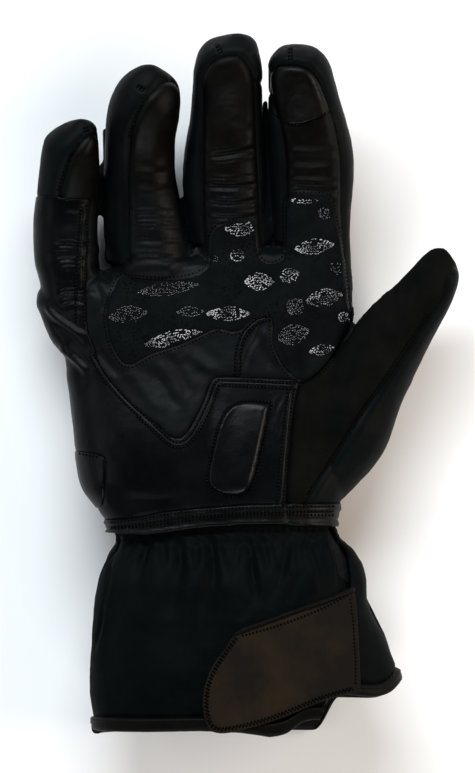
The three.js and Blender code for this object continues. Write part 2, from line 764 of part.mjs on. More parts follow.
const onShell = clearance;
const onPatch = onShell + patchThickness + clearance;
pieces.set("grip_panel", patch(gripOutline, onShell, onShell + gripThickness, seamLevel));
pieces.set(
  "outer_hand_panel",
  patch(outerPanelOutline, onShell, onShell + patchThickness, seamLevel),
);
pieces.set(
  "edge_patch",
  patch(edgePatchOutline, onPatch, onPatch + patchThickness, seamLevel),
);
const tipPadFrame = fingerFrames(fingerNamed("index")).find((f) => f.along >= touchTipAlong);
const tipPadLevel = tipPadFrame.centre.z;
pieces.set(
  "index_touch_tip",
  patch(touchTipOutline, onShell, onShell + gripThickness, tipPadLevel),
);

// The height of the palm's surface at a point.
function palmTop(x, y) {
  const ups = palmSections.map((row) => row.up * palmLength);
  const values = palmSections.flatMap((row) => [row.left, row.right, row.bottom, row.top]);
  const row = new THREE.LinearInterpolant(ups, values, 4).evaluate(y);
  const [left, right, bottom, top] = row;
  const across = (2 * x - (left + right) * palmWidth) / ((right - left) * palmWidth);
  const height = (1 - Math.min(Math.abs(across), 1) ** palmRoundness) ** (1 / palmRoundness);
  return (palmDepth * (top + bottom + (top - bottom) * height)) / 2;
}

// The foam pad on the heel of the hand, with a rounded edge, following the palm.
const padShape = new THREE.Shape(heelPadOutline.map(handPoint));
const padGeometry = new THREE.ExtrudeGeometry(padShape, {
  depth: palmDepth / 2,
  bevelThickness: heelPadBevel,
  bevelSize: heelPadBevel,
  bevelOffset: -heelPadBevel,
  bevelSegments: 2,
});
padGeometry.translate(0, 0, onPatch + heelPadHeight - heelPadBevel - palmDepth / 2);
const padPositions = padGeometry.attributes.position;
for (let i = 0; i < padPositions.count; i++) {
  const rise = palmTop(padPositions.getX(i), padPositions.getY(i));
  padPositions.setZ(i, padPositions.getZ(i) + rise);
}
pieces.set("heel_pad", solidOf(padGeometry).subtract(handSolid(onPatch)));

// The leather band that covers the joint of the hand and the cuff.
const bandSlab = box(-reach, reach, -bandOverCuff, bandHeight, lowestCut, highestCut);
pieces.set(
  "wrist_band",
  palmSolid(clearance + bandThickness, bandOverCuff)
    .intersect(bandSlab)
    .subtract(handSolid(clearance, bandOverCuff * 2)),
);

// The cuff's tube, and the opening along its thumb side that the strap closes.
const neckStart = seamGap / cuffLength;
const cuffTube = cuffSolid(0, neckStart, 1).subtract(cuffSolid(-cuffWall, -past, 1 + past));
const placketLine = placketEdge.map(cuffPoint);
const cuffLevel = cuffSeamHeight * hemDepth;
const rightOfPlacket = (shift, low = lowestCut) => {
  const line = placketLine.map((p) => new THREE.Vector2(p.x + shift, p.y));
  const far = [new THREE.Vector2(reach, line.at(-1).y), new THREE.Vector2(reach, line[0].y)];
  return prism([...far, ...line], low);
};
const placketZone = (side) =>
  rightOfPlacket(-side, cuffLevel).subtract(rightOfPlacket(placketWidth + side));
const aboveCuffSeam = (shift) => box(-reach, reach, -reach, reach, cuffLevel + shift, highestCut);
pieces.set("cuff_palm_panel", cuffTube.intersect(aboveCuffSeam(0)).subtract(rightOfPlacket(0)));
pieces.set(
  "cuff_back_panel",
  cuffTube.subtract(aboveCuffSeam(-seamGap).subtract(rightOfPlacket(placketWidth))),
);
const gussetTop = -cuffWall - clearance;
const gussetEnd = 1 - (bindingHeight + gussetShort) / cuffLength;
pieces.set(
  "cuff_gusset",
  cuffSolid(gussetTop, gussetStart, gussetEnd)
    .subtract(cuffSolid(gussetTop - gussetThickness, -past, 1 + past))
    .intersect(placketZone(placketWidth / 2)),
);

// The binding folded over the hem, open at the placket.
const bindingOut = clearance + bindingThickness;
const bindingPast = bindingOut / cuffLength;
const gapPast = clearance / cuffLength;
const bindingStart = 1 - bindingHeight / cuffLength;
const hemShell = (grow, endPast) =>
  cuffSolid(grow, bindingStart - endPast + gapPast, 1 + endPast).subtract(
    cuffSolid(-cuffWall - grow, bindingStart - past, 1 + past),
  );
const hemCore = cuffSolid(clearance, bindingStart - past, 1 + gapPast).subtract(
  cuffSolid(-cuffWall - clearance, bindingStart - past * 2, 1 + past),
);
pieces.set(
  "hem_binding",
  hemShell(bindingOut, bindingPast).subtract(hemCore).subtract(placketZone(0)),
);

// The closing strap, sewn to the back panel beside the placket. It lies on the palm panel and over the binding.
const strapTop = bindingOut + clearance + strapThickness;
const underStrap = cuffSolid(clearance, 0, 1 + past).add(
  cuffSolid(bindingOut + clearance, bindingStart - bindingPast, 1 + past),
);
pieces.set(
  "wrist_strap",
  prism(strapOutline.map(cuffPoint), cuffLevel)
    .intersect(cuffSolid(strapTop, neckDown, 1 + past))
    .subtract(underStrap),
);

// Materials, by the node that they cover.
const material = (color, roughness) =>
  new THREE.MeshStandardMaterial({ color, roughness, metalness: 0 });
const leather = material(0x17181a, 0.42);
const suede = material(0x1c2124, 0.9);
const softshell = material(0x14181a, 0.8);
const nubuck = material(0x2a2420, 0.75);
const materialOf = {
  palm_leather: leather,
  outer_hand_panel: leather,
  edge_patch: leather,
  heel_pad: leather,
  wrist_band: leather,
  index_touch_tip: leather,
  hem_binding: leather,
  grip_panel: suede,
  thumb_palm_panel: suede,
  wrist_strap: nubuck,
};

const gauntlet = new THREE.Group();
gauntlet.name = "motorcycle_gauntlet";
for (const [name, solid] of pieces) {
  const bodies = solid.decompose().sort((a, b) => b.volume() - a.volume());
  const mesh = new THREE.Mesh(geometryOf(bodies[0]), materialOf[name] ?? softshell);
  mesh.name = name;
  gauntlet.add(mesh);
}

// The origin is the middle of the surface that the gauntlet lies on, under the middle of its outline.
const bounds = new THREE.Box3().setFromObject(gauntlet);
const middle = bounds.getCenter(new THREE.Vector3());
gauntlet.position.set(-middle.x, -middle.y, -bounds.min.z);

export default gauntlet;
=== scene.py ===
# A right-hand winter riding gauntlet in leather, suede and softshell, lying palm up on a pale floor.
# Lengths are worked out in millimetres and written to the meshes in metres. Outlines are drawn on a plan seen
# from above, a grid of 0.42 mm whose x runs towards the thumb and whose y runs from the fingertips down.
import math

import bpy
import numpy as np
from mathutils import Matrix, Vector, noise
from mathutils.bvhtree import BVHTree


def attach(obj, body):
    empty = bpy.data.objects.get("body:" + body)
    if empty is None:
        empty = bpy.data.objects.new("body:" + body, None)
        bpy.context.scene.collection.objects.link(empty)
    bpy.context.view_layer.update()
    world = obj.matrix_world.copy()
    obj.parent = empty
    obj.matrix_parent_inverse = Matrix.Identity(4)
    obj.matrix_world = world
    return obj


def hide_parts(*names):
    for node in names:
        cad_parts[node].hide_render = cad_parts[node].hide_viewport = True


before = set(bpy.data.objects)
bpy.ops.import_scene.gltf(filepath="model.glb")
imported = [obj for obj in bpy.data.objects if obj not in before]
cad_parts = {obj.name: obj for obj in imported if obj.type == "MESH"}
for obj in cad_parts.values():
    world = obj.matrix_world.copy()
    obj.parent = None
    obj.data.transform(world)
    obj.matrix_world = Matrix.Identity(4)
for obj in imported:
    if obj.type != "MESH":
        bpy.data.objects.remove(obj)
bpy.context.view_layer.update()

METRE = 0.001
GRID = 0.42
PLAN_X = 246.5
PLAN_Y = 387.0
WRIST_Y = -58.8
AXIS_HEIGHT = 20.0
SIDE_SEAM_HEIGHT = 17.6
VOXEL = 0.95
scene = bpy.context.scene


# Plan geometry.
def plan(points):
    grid = np.asarray(points, float)
    return np.column_stack(((grid[:, 0] - PLAN_X) * GRID, (PLAN_Y - grid[:, 1]) * GRID))


def rounded(points, closed=False, rounds=3):
    """Cuts the corners of a line until it is smooth."""
    line = np.asarray(points, float)
    for _ in range(rounds):
        if closed:
            after = np.roll(line, -1, axis=0)
            line = np.stack((0.75 * line + 0.25 * after, 0.25 * line + 0.75 * after), 1).reshape(-1, 2)
        else:
            a, b = line[:-1], line[1:]
            middle = np.stack((0.75 * a + 0.25 * b, 0.25 * a + 0.75 * b), 1).reshape(-1, 2)
            line = np.vstack((line[:1], middle[1:-1], line[-1:]))
    return line


def nearest(points, line, closed=False, reach=16.0):
    """Distance to a line, the length along it and the side of it, for each point."""
    ends = np.roll(line, -1, axis=0) if closed else line[1:]
    starts = line if closed else line[:-1]
    lengths = np.linalg.norm(ends - starts, axis=1)
    before = np.concatenate(([0], np.cumsum(lengths)[:-1]))
    distance = np.full(len(points), reach * 1.5)
    along = np.zeros(len(points))
    side = np.ones(len(points))
    low, high = line.min(0) - reach, line.max(0) + reach
    near = np.where(np.all((points > low) & (points < high), axis=1))[0]
    spots = points[near]
    best = distance[near]
    best_along = along[near]
    best_side = side[near]
    for a, b, length, past in zip(starts, ends, lengths, before):
        if length < 1e-9:
            continue
        step = (b - a) / length
        offset = spots - a
        t = np.clip(offset @ step, 0, length)
        gap = offset - t[:, None] * step
        d = np.hypot(gap[:, 0], gap[:, 1])
        closer = d < best
        best = np.where(closer, d, best)
        best_along = np.where(closer, past + t, best_along)
        turn = step[0] * offset[:, 1] - step[1] * offset[:, 0]
        best_side = np.where(closer, np.sign(turn), best_side)
    distance[near] = best
    along[near] = best_along
    side[near] = best_side
    return distance, along, side


def inside(points, polygon):
    result = np.zeros(len(points), bool)
    x, y = points[:, 0], points[:, 1]
    for (x0, y0), (x1, y1) in zip(polygon, np.roll(polygon, -1, axis=0)):
        if y0 == y1:
            continue
        crosses = (y0 > y) != (y1 > y)
        result ^= crosses & (x < (x1 - x0) * (y - y0) / (y1 - y0) + x0)
    return result


def area_field(points, outline, corners=2):
    """Signed distance to a closed outline on the plan, positive inside it."""
    line = rounded(plan(outline), closed=True, rounds=corners)
    distance, _, _ = nearest(points, line, closed=True)
    return np.where(inside(points, line), distance, -distance)


def ramp(value, low, high):
    t = np.clip((value - low) / (high - low), 0, 1)
    return t * t * (3 - 2 * t)


def bell(value, width):
    return np.exp(-(value / width) ** 2)


def unit(vectors):
    """Rows of numbers scaled to a length of one."""
    return vectors / np.maximum(np.linalg.norm(vectors, axis=1), 1e-12)[:, None]


# Mesh tools.
def triangles_of(a, b, c, d):
    """Two triangles for each four corners."""
    a, b, c, d = a.ravel(), b.ravel(), c.ravel(), d.ravel()
    return np.vstack((np.stack((a, b, c), 1), np.stack((a, c, d), 1)))


def used_only(faces):
    """The points that the faces use, and the faces counted over those points alone."""
    used, faces = np.unique(faces, return_inverse=True)
    return used, faces.reshape(-1, 3)


def loft(rings):
    """Joins rings of points into one closed mesh."""
    rings = np.asarray(rings, float)
    count, sides = rings.shape[:2]
    points = rings.reshape(-1, 3)
    index = np.arange(len(points)).reshape(count, sides)
    after = np.roll(index, -1, axis=1)
    walls = triangles_of(index[:-1], after[:-1], after[1:], index[1:])
    first = len(points)
    points = np.vstack((points, rings[0].mean(0), rings[-1].mean(0)))
    caps = np.stack((after[0], index[0], np.full(sides, first)), 1)
    ends = np.stack((index[-1], after[-1], np.full(sides, first + 1)), 1)
    return points, np.vstack((walls, caps, ends))


def merged(meshes):
    points, faces, start = [], [], 0
    for p, f in meshes:
        points.append(p)
        faces.append(f + start)
        start += len(p)
    return np.vstack(points), np.vstack(faces)


def mesh_of(name, points, faces):
    mesh = bpy.data.meshes.new(name)
    mesh.from_pydata((np.asarray(points) * METRE).tolist(), [], np.asarray(faces).tolist())
    mesh.validate()
    mesh.update()
    return mesh


def shown(name, points, faces, material, slot, replaces=()):
    """Makes a piece of the glove from points in millimetres."""
    mesh = mesh_of(name, points, faces)
    mesh.polygons.foreach_set("use_smooth", [True] * len(mesh.polygons))
    obj = bpy.data.objects.new(name, mesh)
    scene.collection.objects.link(obj)
    mesh.materials.append(material)
    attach(obj, "root")
    if replaces:
        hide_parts(*replaces)
    return obj


def read_triangles(obj):
    mesh = obj.data
    mesh.calc_loop_triangles()
    points = np.empty(len(mesh.vertices) * 3)
    mesh.vertices.foreach_get("co", points)
    faces = np.empty(len(mesh.loop_triangles) * 3, int)
    mesh.loop_triangles.foreach_get("vertices", faces)
    return points.reshape(-1, 3) / METRE, faces.reshape(-1, 3)


def remeshed(points, faces, voxel):
    """One smooth skin round a heap of closed meshes."""
    obj = bpy.data.objects.new("heap", mesh_of("heap", points, faces))
    scene.collection.objects.link(obj)
    modifier = obj.modifiers.new("skin", "REMESH")
    modifier.mode = "VOXEL"
    modifier.voxel_size = voxel * METRE
    graph = bpy.context.evaluated_depsgraph_get()
    skin = bpy.data.meshes.new_from_object(obj.evaluated_get(graph))
    obj.modifiers.remove(modifier)
    obj.data = skin
    result = read_triangles(obj)
    bpy.data.objects.remove(obj)
    return result


def smoothed(points, faces, rounds, strength=0.5, keep=None):
    """Moves each point towards its neighbours' middle, then partly back, so that the volume stays."""
    edges = np.vstack((faces[:, [0, 1]], faces[:, [1, 2]], faces[:, [2, 0]]))
    edges = np.unique(np.sort(edges, axis=1), axis=0)
    count = np.bincount(edges.ravel(), minlength=len(points))[:, None]
    result = points.copy()
    for step in range(rounds * 2):
        total = np.zeros_like(result)
        for axis in range(3):
            column = result[:, axis]
            total[:, axis] = np.bincount(edges[:, 0], column[edges[:, 1]], len(points))
            total[:, axis] += np.bincount(edges[:, 1], column[edges[:, 0]], len(points))
        factor = strength if step % 2 == 0 else -strength * 0.94
        shift = factor * (total / np.maximum(count, 1) - result)
        if keep is not None:
            shift *= keep[:, None]
        result += shift
    return result


def normals_of(points, faces):
    corners = points[faces]
    cross = np.cross(corners[:, 1] - corners[:, 0], corners[:, 2] - corners[:, 0])
    normals = np.zeros_like(points)
    for axis in range(3):
        for k in range(3):
            normals[:, axis] += np.bincount(faces[:, k], cross[:, axis], len(points))
    return unit(normals)


def cut(rows, faces, column, snap=0.07):
    """Splits the triangles that cross the zero line of a column, so that each lies on one side."""
    value = rows[:, column]
    value[np.abs(value) < snap] = 0
    sign = np.sign(value).astype(int)
    s = sign[faces]
    crossing = (s.min(1) < 0) & (s.max(1) > 0)
    kept, split = faces[~crossing], faces[crossing]
    if len(split) == 0:
        return rows, faces
    s = s[crossing]
    # Each split triangle is turned so that its first corner is the one on the line, or else the lone one.
    has_zero = (s == 0).any(1)
    lone = np.argmax(np.where(has_zero[:, None], s == 0, s == -np.sign(s.sum(1))[:, None]), axis=1)
    order = (lone[:, None] + np.arange(3)) % 3
    split = np.take_along_axis(split, order, axis=1)
    pairs_zero = split[has_zero][:, [1, 2]]
    pairs_a = split[~has_zero][:, [0, 1]]
    pairs_b = split[~has_zero][:, [0, 2]]
    pairs = np.vstack((pairs_zero, pairs_a, pairs_b))
    unique, index = np.unique(np.sort(pairs, axis=1), axis=0, return_inverse=True)
    index = index.ravel()
    a, b = rows[unique[:, 0]], rows[unique[:, 1]]
    t = (a[:, column] / (a[:, column] - b[:, column]))[:, None]
    fresh = a + t * (b - a)
    fresh[:, column] = 0
    first = len(rows)
    m = first + index
    n0, n1 = len(pairs_zero), len(pairs_a)
    mz, ma, mb = m[:n0], m[n0:n0 + n1], m[n0 + n1:]
    z = split[has_zero]
    o = split[~has_zero]
    parts = [kept,
             np.stack((z[:, 0], z[:, 1], mz), 1), np.stack((z[:, 0], mz, z[:, 2]), 1),
             np.stack((o[:, 0], ma, mb), 1), np.stack((ma, o[:, 1], o[:, 2]), 1),
             np.stack((ma, o[:, 2], mb), 1)]
    return np.vstack((rows, fresh)), np.vstack(parts)


def part_of(points, normals, faces, chosen, wall):
    """The chosen faces as a shell with a thickness, closed round its rim."""
    used, top = used_only(faces[chosen])
    outer = points[used]
    inner = outer - normals[used] * wall
    count = len(used)
    edges = np.vstack((top[:, [0, 1]], top[:, [1, 2]], top[:, [2, 0]]))
    codes = edges[:, 0] * count + edges[:, 1]
    reverse = edges[:, 1] * count + edges[:, 0]
    rim = edges[~np.isin(codes, reverse)]
    walls = triangles_of(rim[:, 1], rim[:, 0], rim[:, 0] + count, rim[:, 1] + count)
    return np.vstack((outer, inner)), np.vstack((top, top[:, ::-1] + count, walls))


def tree_of(points, faces):
    return BVHTree.FromPolygons(points.tolist(), faces.tolist())


def wobble(points, scale, seed):
    """Smooth noise, one value to a point, about -1 to 1."""
    shift = Vector((seed * 17.3, seed * 5.1, seed * 9.7))
    return np.array([noise.noise(Vector(p) / scale + shift) for p in points.tolist()])


# The five digits. Origin and towards give the axis on the plan, rise is how far the axis climbs to the tip
# in millimetres, and depth is half the thickness as a share of the width. Each row has the length along the
# axis, and the left and right edges across it, in steps of the plan.
DIGITS = {
    "little": dict(origin=(70, 296), towards=(70, 96), rise=26, length=174, depth=0.46, rows=[
        (-20, -24, 34), (16, -30, 32), (34, -35, 28.5), (58, -36, 27.5), (82, -36, 28), (94, -35, 28.5),
        (106, -33.7, 29.2), (118, -32.5, 29.6), (130, -31, 29.6), (142, -29, 29.6), (154, -25.5, 29.6),
        (160, -18, 28.6), (166, -8, 27), (170, 1, 23), (174, 9, 15)]),
    "ring": dict(origin=(150, 281), towards=(150, 81), rise=28.9, length=212, depth=0.46, rows=[
        (-20, -30, 46), (10, -38, 45), (31, -42, 41.5), (43, -44, 38.6), (55, -45.5, 35.4), (67, -46.3, 33),
        (79, -46.4, 31), (91, -46.2, 28), (103, -46, 26), (115, -45.6, 25), (139, -45.3, 25),
        (153, -44.8, 27), (161, -44, 29), (173, -42, 30.5), (179, -40.3, 31), (185, -37.6, 30.7),
        (191, -34.4, 29),
        (197, -29.6, 24.6), (203, -23.3, 17.6), (209, -14, 10.6), (212, -5, 4)]),
    "middle": dict(origin=(232, 271), towards=(232, 71), rise=28.7, length=233, depth=0.455, rows=[
        (-20, -27, 38), (10, -33, 37.5), (21, -36, 36.5), (33, -40.5, 36), (45, -44.6, 35.7),
        (57, -46.8, 35.5), (69, -48.6, 35.3), (81, -50, 34.7), (93, -50.4, 34.2), (105, -50, 33.6),
        (117, -48.6, 32.8),
        (129, -46.5, 31.7), (151, -42, 31), (163, -40.6, 30.6), (181, -39, 30), (199, -38, 29.8),
        (211, -35.5, 28.6), (217, -33, 27), (223, -28, 25.5), (228, -14, 21.5), (232, -1, 13)]),
    "index": dict(origin=(310, 271), towards=(310, 71), rise=27.3, length=220.5, depth=0.44, rows=[
        (-20, -33, 44), (10, -35.5, 42), (33, -37, 40.5), (45, -38, 40.5), (57, -38.7, 41), (69, -39.2, 42),
        (81, -39.4, 43), (93, -39.8, 43.5), (105, -40, 44), (117, -40.2, 43.8), (129, -40.6, 42),
        (141, -41.2, 38.8), (151, -41.7, 35.6), (163, -42.2, 31.6), (175, -42.5, 28.4), (187, -42.8, 25),
        (199, -42.6, 22), (205, -41.6, 19.6), (211, -39, 15.6), (217, -33.5, 8.6), (220, -23, -4)]),
    "thumb": dict(origin=(303.4, 491), towards=(448, 250), rise=14.7, length=280, depth=0.49, rows=[
        (0, -30, 36), (11, -32, 39), (27, -36, 42.9), (43, -39, 46.1), (58, -41, 48.5), (73, -42, 49.8),
        (87, -42, 48.6), (100, -42, 45.4), (111, -42, 42.7), (123, -42, 40), (150, -42, 37.3),
        (163, -41.5, 36), (173, -40, 35.3), (189, -37.7, 34), (204, -33.5, 32.7), (223, -27.5, 31.3),
        (239, -23.9, 29.3), (255, -20.6, 26.1), (264, -18.8, 22.6), (271, -16.5, 16), (277, -11.5, 6),
        (280, -6, -1)]),
}
SKIN_ALLOWANCE = 0.25  # taken off each side, because the sewn surface swells a little
SIDES = 44
SHAFT_RINGS = 26
TIP_RINGS = 22
SHAFT_SHARE = 0.8
PALM_SIDES = 88
PALM_RINGS = 60
HEAP_ROUNDS = 7


def digit_axes(digit):
    start, end = plan([digit["origin"], digit["towards"]])
    forward = (end - start) / np.linalg.norm(end - start)
    return start, forward, np.array([forward[1], -forward[0]])


def squared(values, roundness):
    return np.sign(values) * np.abs(values) ** (2 / roundness)


def digit_mesh(digit, roundness=2.25):
    start, forward, right = digit_axes(digit)
    rows = np.array(digit["rows"], float) * GRID
    length = digit["length"] * GRID
    shaft = np.linspace(rows[0, 0], length * SHAFT_SHARE, SHAFT_RINGS)
    rounding = np.sin(np.linspace(0.08, 1, TIP_RINGS) * math.pi / 2)
    t = np.concatenate((shaft, length * (SHAFT_SHARE + (1 - SHAFT_SHARE) * rounding)))
    left = np.interp(t, rows[:, 0], rows[:, 1]) + SKIN_ALLOWANCE
    far = np.interp(t, rows[:, 0], rows[:, 2]) - SKIN_ALLOWANCE
    turn = np.arange(SIDES) / SIDES * 2 * math.pi
    rings = []
    for along, a, b in zip(t, left, far):
        half = (b - a) / 2
        share = max(along, 0) / length
        height = AXIS_HEIGHT + digit["rise"] * share ** 2
        slope = 2 * digit["rise"] * share / length
        up = np.array([*(-forward * slope), 1]) / math.hypot(1, slope)
        middle = np.array([*(start + forward * along + right * (a + b) / 2), height])
        across = squared(np.cos(turn), roundness) * half
        lift = squared(np.sin(turn), roundness) * half * 2 * digit["depth"]
        ring = middle + across[:, None] * np.array([*right, 0]) + lift[:, None] * up
        ring[:, 2] = np.maximum(ring[:, 2], 0)
        rings.append(ring[::-1])
    return loft(rings)


# The palm. Each row has the plan's y, the left and right edges, the back's and the palm's height in
# millimetres, and the slant of the row towards the little finger.
PALM_ROWS = [(560, 113, 334, 5, 45, 0), (526, 109, 336, 5, 45, 0), (514, 103, 338, 4, 45.6, 0),
             (502, 95, 342, 2.5, 46, 0), (490, 85, 345, 0.5, 46.6, 0), (478, 81, 346, -1, 47, 0),
             (454, 77.5, 347, -2, 46.4, 0), (430, 75, 348, -2.5, 45.2, 0), (406, 71.5, 350, -2.5, 43.4, 0),
             (382, 68.5, 352, -2.5, 41.6, 0), (358, 65, 352, -2.5, 40.4, 0), (346, 62, 353, -2.5, 40, 2),
             (330, 54, 354, -2.5, 39.4, 4), (310, 46, 354, -2.2, 38.6, 6), (290, 41, 352, -1.6, 37.6, 8),
             (274, 36, 350, 0, 36.4, 9), (262, 38, 342, 4, 33, 9), (252, 60, 330, 10, 27, 9)]


def palm_mesh(roundness=2.5):
    rows = np.array(PALM_ROWS, float)
    fine = np.linspace(rows[0, 0], rows[-1, 0], PALM_RINGS)
    columns = [np.interp(-fine, -rows[:, 0], rows[:, k]) for k in range(1, 6)]
    turn = np.arange(PALM_SIDES) / PALM_SIDES * 2 * math.pi
    rings = []
    for y, left, far, bottom, top, slant in zip(fine, *columns):
        a, b = (left - PLAN_X) * GRID + SKIN_ALLOWANCE, (far - PLAN_X) * GRID - SKIN_ALLOWANCE
        x = (a + b) / 2 + squared(np.cos(turn), roundness) * (b - a) / 2
        z = (top + bottom) / 2 + squared(np.sin(turn), roundness) * (top - bottom) / 2
        along = (PLAN_Y - y) * GRID + math.tan(math.radians(slant)) * (x + 10)
        rings.append(np.stack((x, along, np.maximum(z, 0)), 1)[::-1])
    return loft(rings)


# Where neighbouring fingers touch: points on the plan, half width, and the lowest and highest z.
CONTACTS = [([(265, 100), (266.5, 150), (267, 200), (268, 252)], 1.1, 10.0, 27.0),
            ([(182, 200), (185, 215), (187.5, 230), (190.5, 243), (195, 257)], 1.8, 9.0, 27.0),
            ([(104, 164), (103.5, 186), (104, 214)], 2.0, 8.0, 25.0),
            ([(106, 128), (106.5, 170), (107, 240), (111, 262)], 1.5, 8.0, 26.0)]


def contact_mesh(line, half, low, high):
    path = rounded(plan(line), rounds=2)
    ahead = unit(np.gradient(path, axis=0))
    side = np.stack((ahead[:, 1], -ahead[:, 0]), 1) * half
    rings = [[(*(p - s), low), (*(p + s), low), (*(p + s), high), (*(p - s), high)]
             for p, s in zip(path, side)]
    return loft(np.array(rings)[:, ::-1])


heap = merged([palm_mesh()] + [digit_mesh(d) for d in DIGITS.values()] + [contact_mesh(*c) for c in CONTACTS])
points, faces = remeshed(*heap, VOXEL)
points = smoothed(points, faces, HEAP_ROUNDS)

# Seams and panels on the plan. The strips of the palm's leather run up the fingers.
PALM_AREA = [(60, 300), (66, 262), (90, 250), (100, 262), (118, 268), (128, 262), (180, 250), (204, 246),
             (240, 252), (262, 246), (274, 244), (300, 250), (346, 246), (350, 290), (353, 325), (341, 343),
             (335, 354), (313, 378), (300, 382), (292, 396), (290, 440), (287, 512), (287, 600), (-20, 600),
             (-20, 300)]
LITTLE_STRIP = [(56, 300), (58, 222), (61, 193), (65, 179), (72, 160), (82, 146), (90, 138), (98, 136),
                (112, 144), (114, 190), (112, 230), (112, 262), (116, 290)]
RING_STRIP = [(128, 290), (129, 240), (130, 219), (129, 179), (131, 140), (136, 124), (142, 112), (149, 99),
              (153, 94), (162, 85), (171, 83), (182, 82), (196, 100), (198, 150), (196, 184), (181, 199),
              (184, 214), (188, 232), (198, 247), (208, 252), (210, 290)]
MIDDLE_STRIP = [(205, 290), (203, 255), (202, 180), (202, 98), (201, 84), (204, 75), (211, 65), (221, 60),
                (232, 58), (241, 60), (248, 68), (254, 77), (256, 91), (257, 140), (261, 200), (263, 250),
                (268, 290)]
INDEX_STRIP = [(284, 290), (286, 200), (284, 150), (276, 110), (268, 86), (269, 75), (275, 69), (284, 68),
               (294, 68), (304, 70), (312, 75), (319, 84), (325, 98), (330, 110), (336, 129), (340, 151),
               (342, 175), (342, 220), (346, 255), (350, 295)]
THUMB_AREA = [(286, 600), (286, 505), (289, 460), (293, 420), (296.5, 396), (301, 382), (313, 378),
              (335, 354), (341, 343), (353, 325), (358, 318), (372, 300), (420, 180), (560, 180), (560, 600)]
THUMB_BACK_AREA = [(296, 520), (308, 498), (335, 457), (361, 415), (384, 383), (409, 346), (428, 317),
                   (440, 302), (444, 293), (445, 282), (451, 272), (458, 262), (480, 240), (560, 240),
                   (560, 600), (270, 600)]
OUTER_AREA = [(-20, 196), (44, 196), (55, 197), (72, 200), (90, 199.5), (92, 203), (88, 225), (87, 247),
              (86, 320), (88, 330), (100, 366), (108, 378), (128, 400), (145, 415), (163, 429), (172, 437),
              (179, 438), (186, 434), (194, 420), (203, 403), (209, 384), (213, 377), (221, 376), (260, 378),
              (289, 379), (298, 381), (300, 386), (296.5, 396), (293, 420), (289, 460), (286, 505),
              (286, 560), (-20, 560)]
GRIP_AREA = [(127, 369), (112, 346), (107, 321), (108, 309), (114, 291), (121, 276), (131, 279), (164, 282),
             (194, 278), (208, 270), (211, 262), (211, 244), (213, 233), (220, 227), (238, 222), (252, 219),
             (255, 222), (255, 240), (256, 256), (263, 265), (274, 266), (285, 261), (286, 250), (286, 210),
             (287, 199), (292, 196.5), (325, 196.5), (330, 200), (332, 217), (338, 236), (342, 258),
             (343, 284), (347, 309), (354, 322), (350, 332), (341, 343), (335, 354), (313, 378), (300, 381),
             (290, 374), (279, 359), (273, 343), (273, 322), (272, 317), (262, 318), (251, 319), (238, 334),
             (216, 327), (201, 335), (179, 345), (149, 354)]
EDGE_AREA = [(-20, 449), (77, 450), (100, 454), (107, 457), (108, 461), (106, 490), (104, 512), (-20, 512)]
TIP_AREA = [(268, 100), (268, 86), (269, 75), (275, 69), (284, 68), (294, 68), (304, 70), (312, 75),
            (319, 84), (325, 98), (330, 112), (324, 118), (312, 122), (301, 126), (289, 126), (279, 123),
            (271, 114)]
BAND_TOP = [(0, 521), (113, 518.5), (128, 518), (145, 515), (164, 511), (193, 508), (242, 504), (284, 503),
            (336, 503), (600, 503)]
BAND_BOTTOM = [(0, 533), (113, 532), (145, 534), (169, 531), (193, 527), (242, 523), (275, 522.5), (301, 525),
               (330, 526), (600, 526)]


DIGIT_REACH = 1.35  # how far a digit's seams reach beside it, in half widths


def digit_fields(spots):
    """For each point the height above the side seams, the nearest digit, the angle round it and the share of
    its length."""
    level = np.full(len(spots), SIDE_SEAM_HEIGHT)
    nearest_digit = np.full(len(spots), -1)
    angle = np.zeros(len(spots))
    share = np.zeros(len(spots))
    closest = np.full(len(spots), DIGIT_REACH)
    for index, digit in enumerate(DIGITS.values()):
        start, forward, right = digit_axes(digit)
        rows = np.array(digit["rows"], float) * GRID
        length = digit["length"] * GRID
        flat = spots[:, :2] - start
        t = flat @ forward
        w = flat @ right
        a = np.interp(t, rows[:, 0], rows[:, 1])
        b = np.interp(t, rows[:, 0], rows[:, 2])
        height = AXIS_HEIGHT + digit["rise"] * (np.maximum(t, 0) / length) ** 2
        off = (w - (a + b) / 2) / ((b - a) / 2)
        hit = (t > 0) & (np.abs(off) < closest)
        turn = np.degrees(np.arctan2(off, (spots[:, 2] - height) / ((b - a) * digit["depth"])))
        closest[hit] = np.abs(off)[hit]
        level[hit] = height[hit]
        nearest_digit[hit] = index
        angle[hit] = turn[hit]
        share[hit] = (t / length)[hit]
    return spots[:, 2] - level, nearest_digit, angle, share


flat = points[:, :2]
above, digit_index, angle, share = digit_fields(points)
palm_flat = area_field(flat, PALM_AREA, 1)
for index, strip in enumerate((LITTLE_STRIP, RING_STRIP, MIDDLE_STRIP, INDEX_STRIP)):
    own = (digit_index == index) | (digit_index < 0)
    palm_flat = np.where(own, np.maximum(palm_flat, area_field(flat, strip)), palm_flat)
palm_field = np.minimum(palm_flat, above + 1)
thumb_field = area_field(flat, THUMB_AREA, 1)
thumb_back_field = np.maximum(area_field(flat, THUMB_BACK_AREA), -above - 1)
side_low = points[:, 2] - SIDE_SEAM_HEIGHT
outer_field = np.minimum(area_field(flat, OUTER_AREA), np.where(digit_index == 0, above + 3, side_low))
grip_field = np.minimum(area_field(flat, GRIP_AREA), above)
edge_field = np.minimum(area_field(flat, EDGE_AREA), side_low)
tip_field = np.minimum(area_field(flat, TIP_AREA), above + 1)
band_top, band_bottom = plan(BAND_TOP), plan(BAND_BOTTOM)


def top_line_of(spots):
    return np.interp(spots[:, 0], band_top[:, 0], band_top[:, 1])


def bottom_line_of(spots):
    return np.interp(spots[:, 0], band_bottom[:, 0], band_bottom[:, 1])


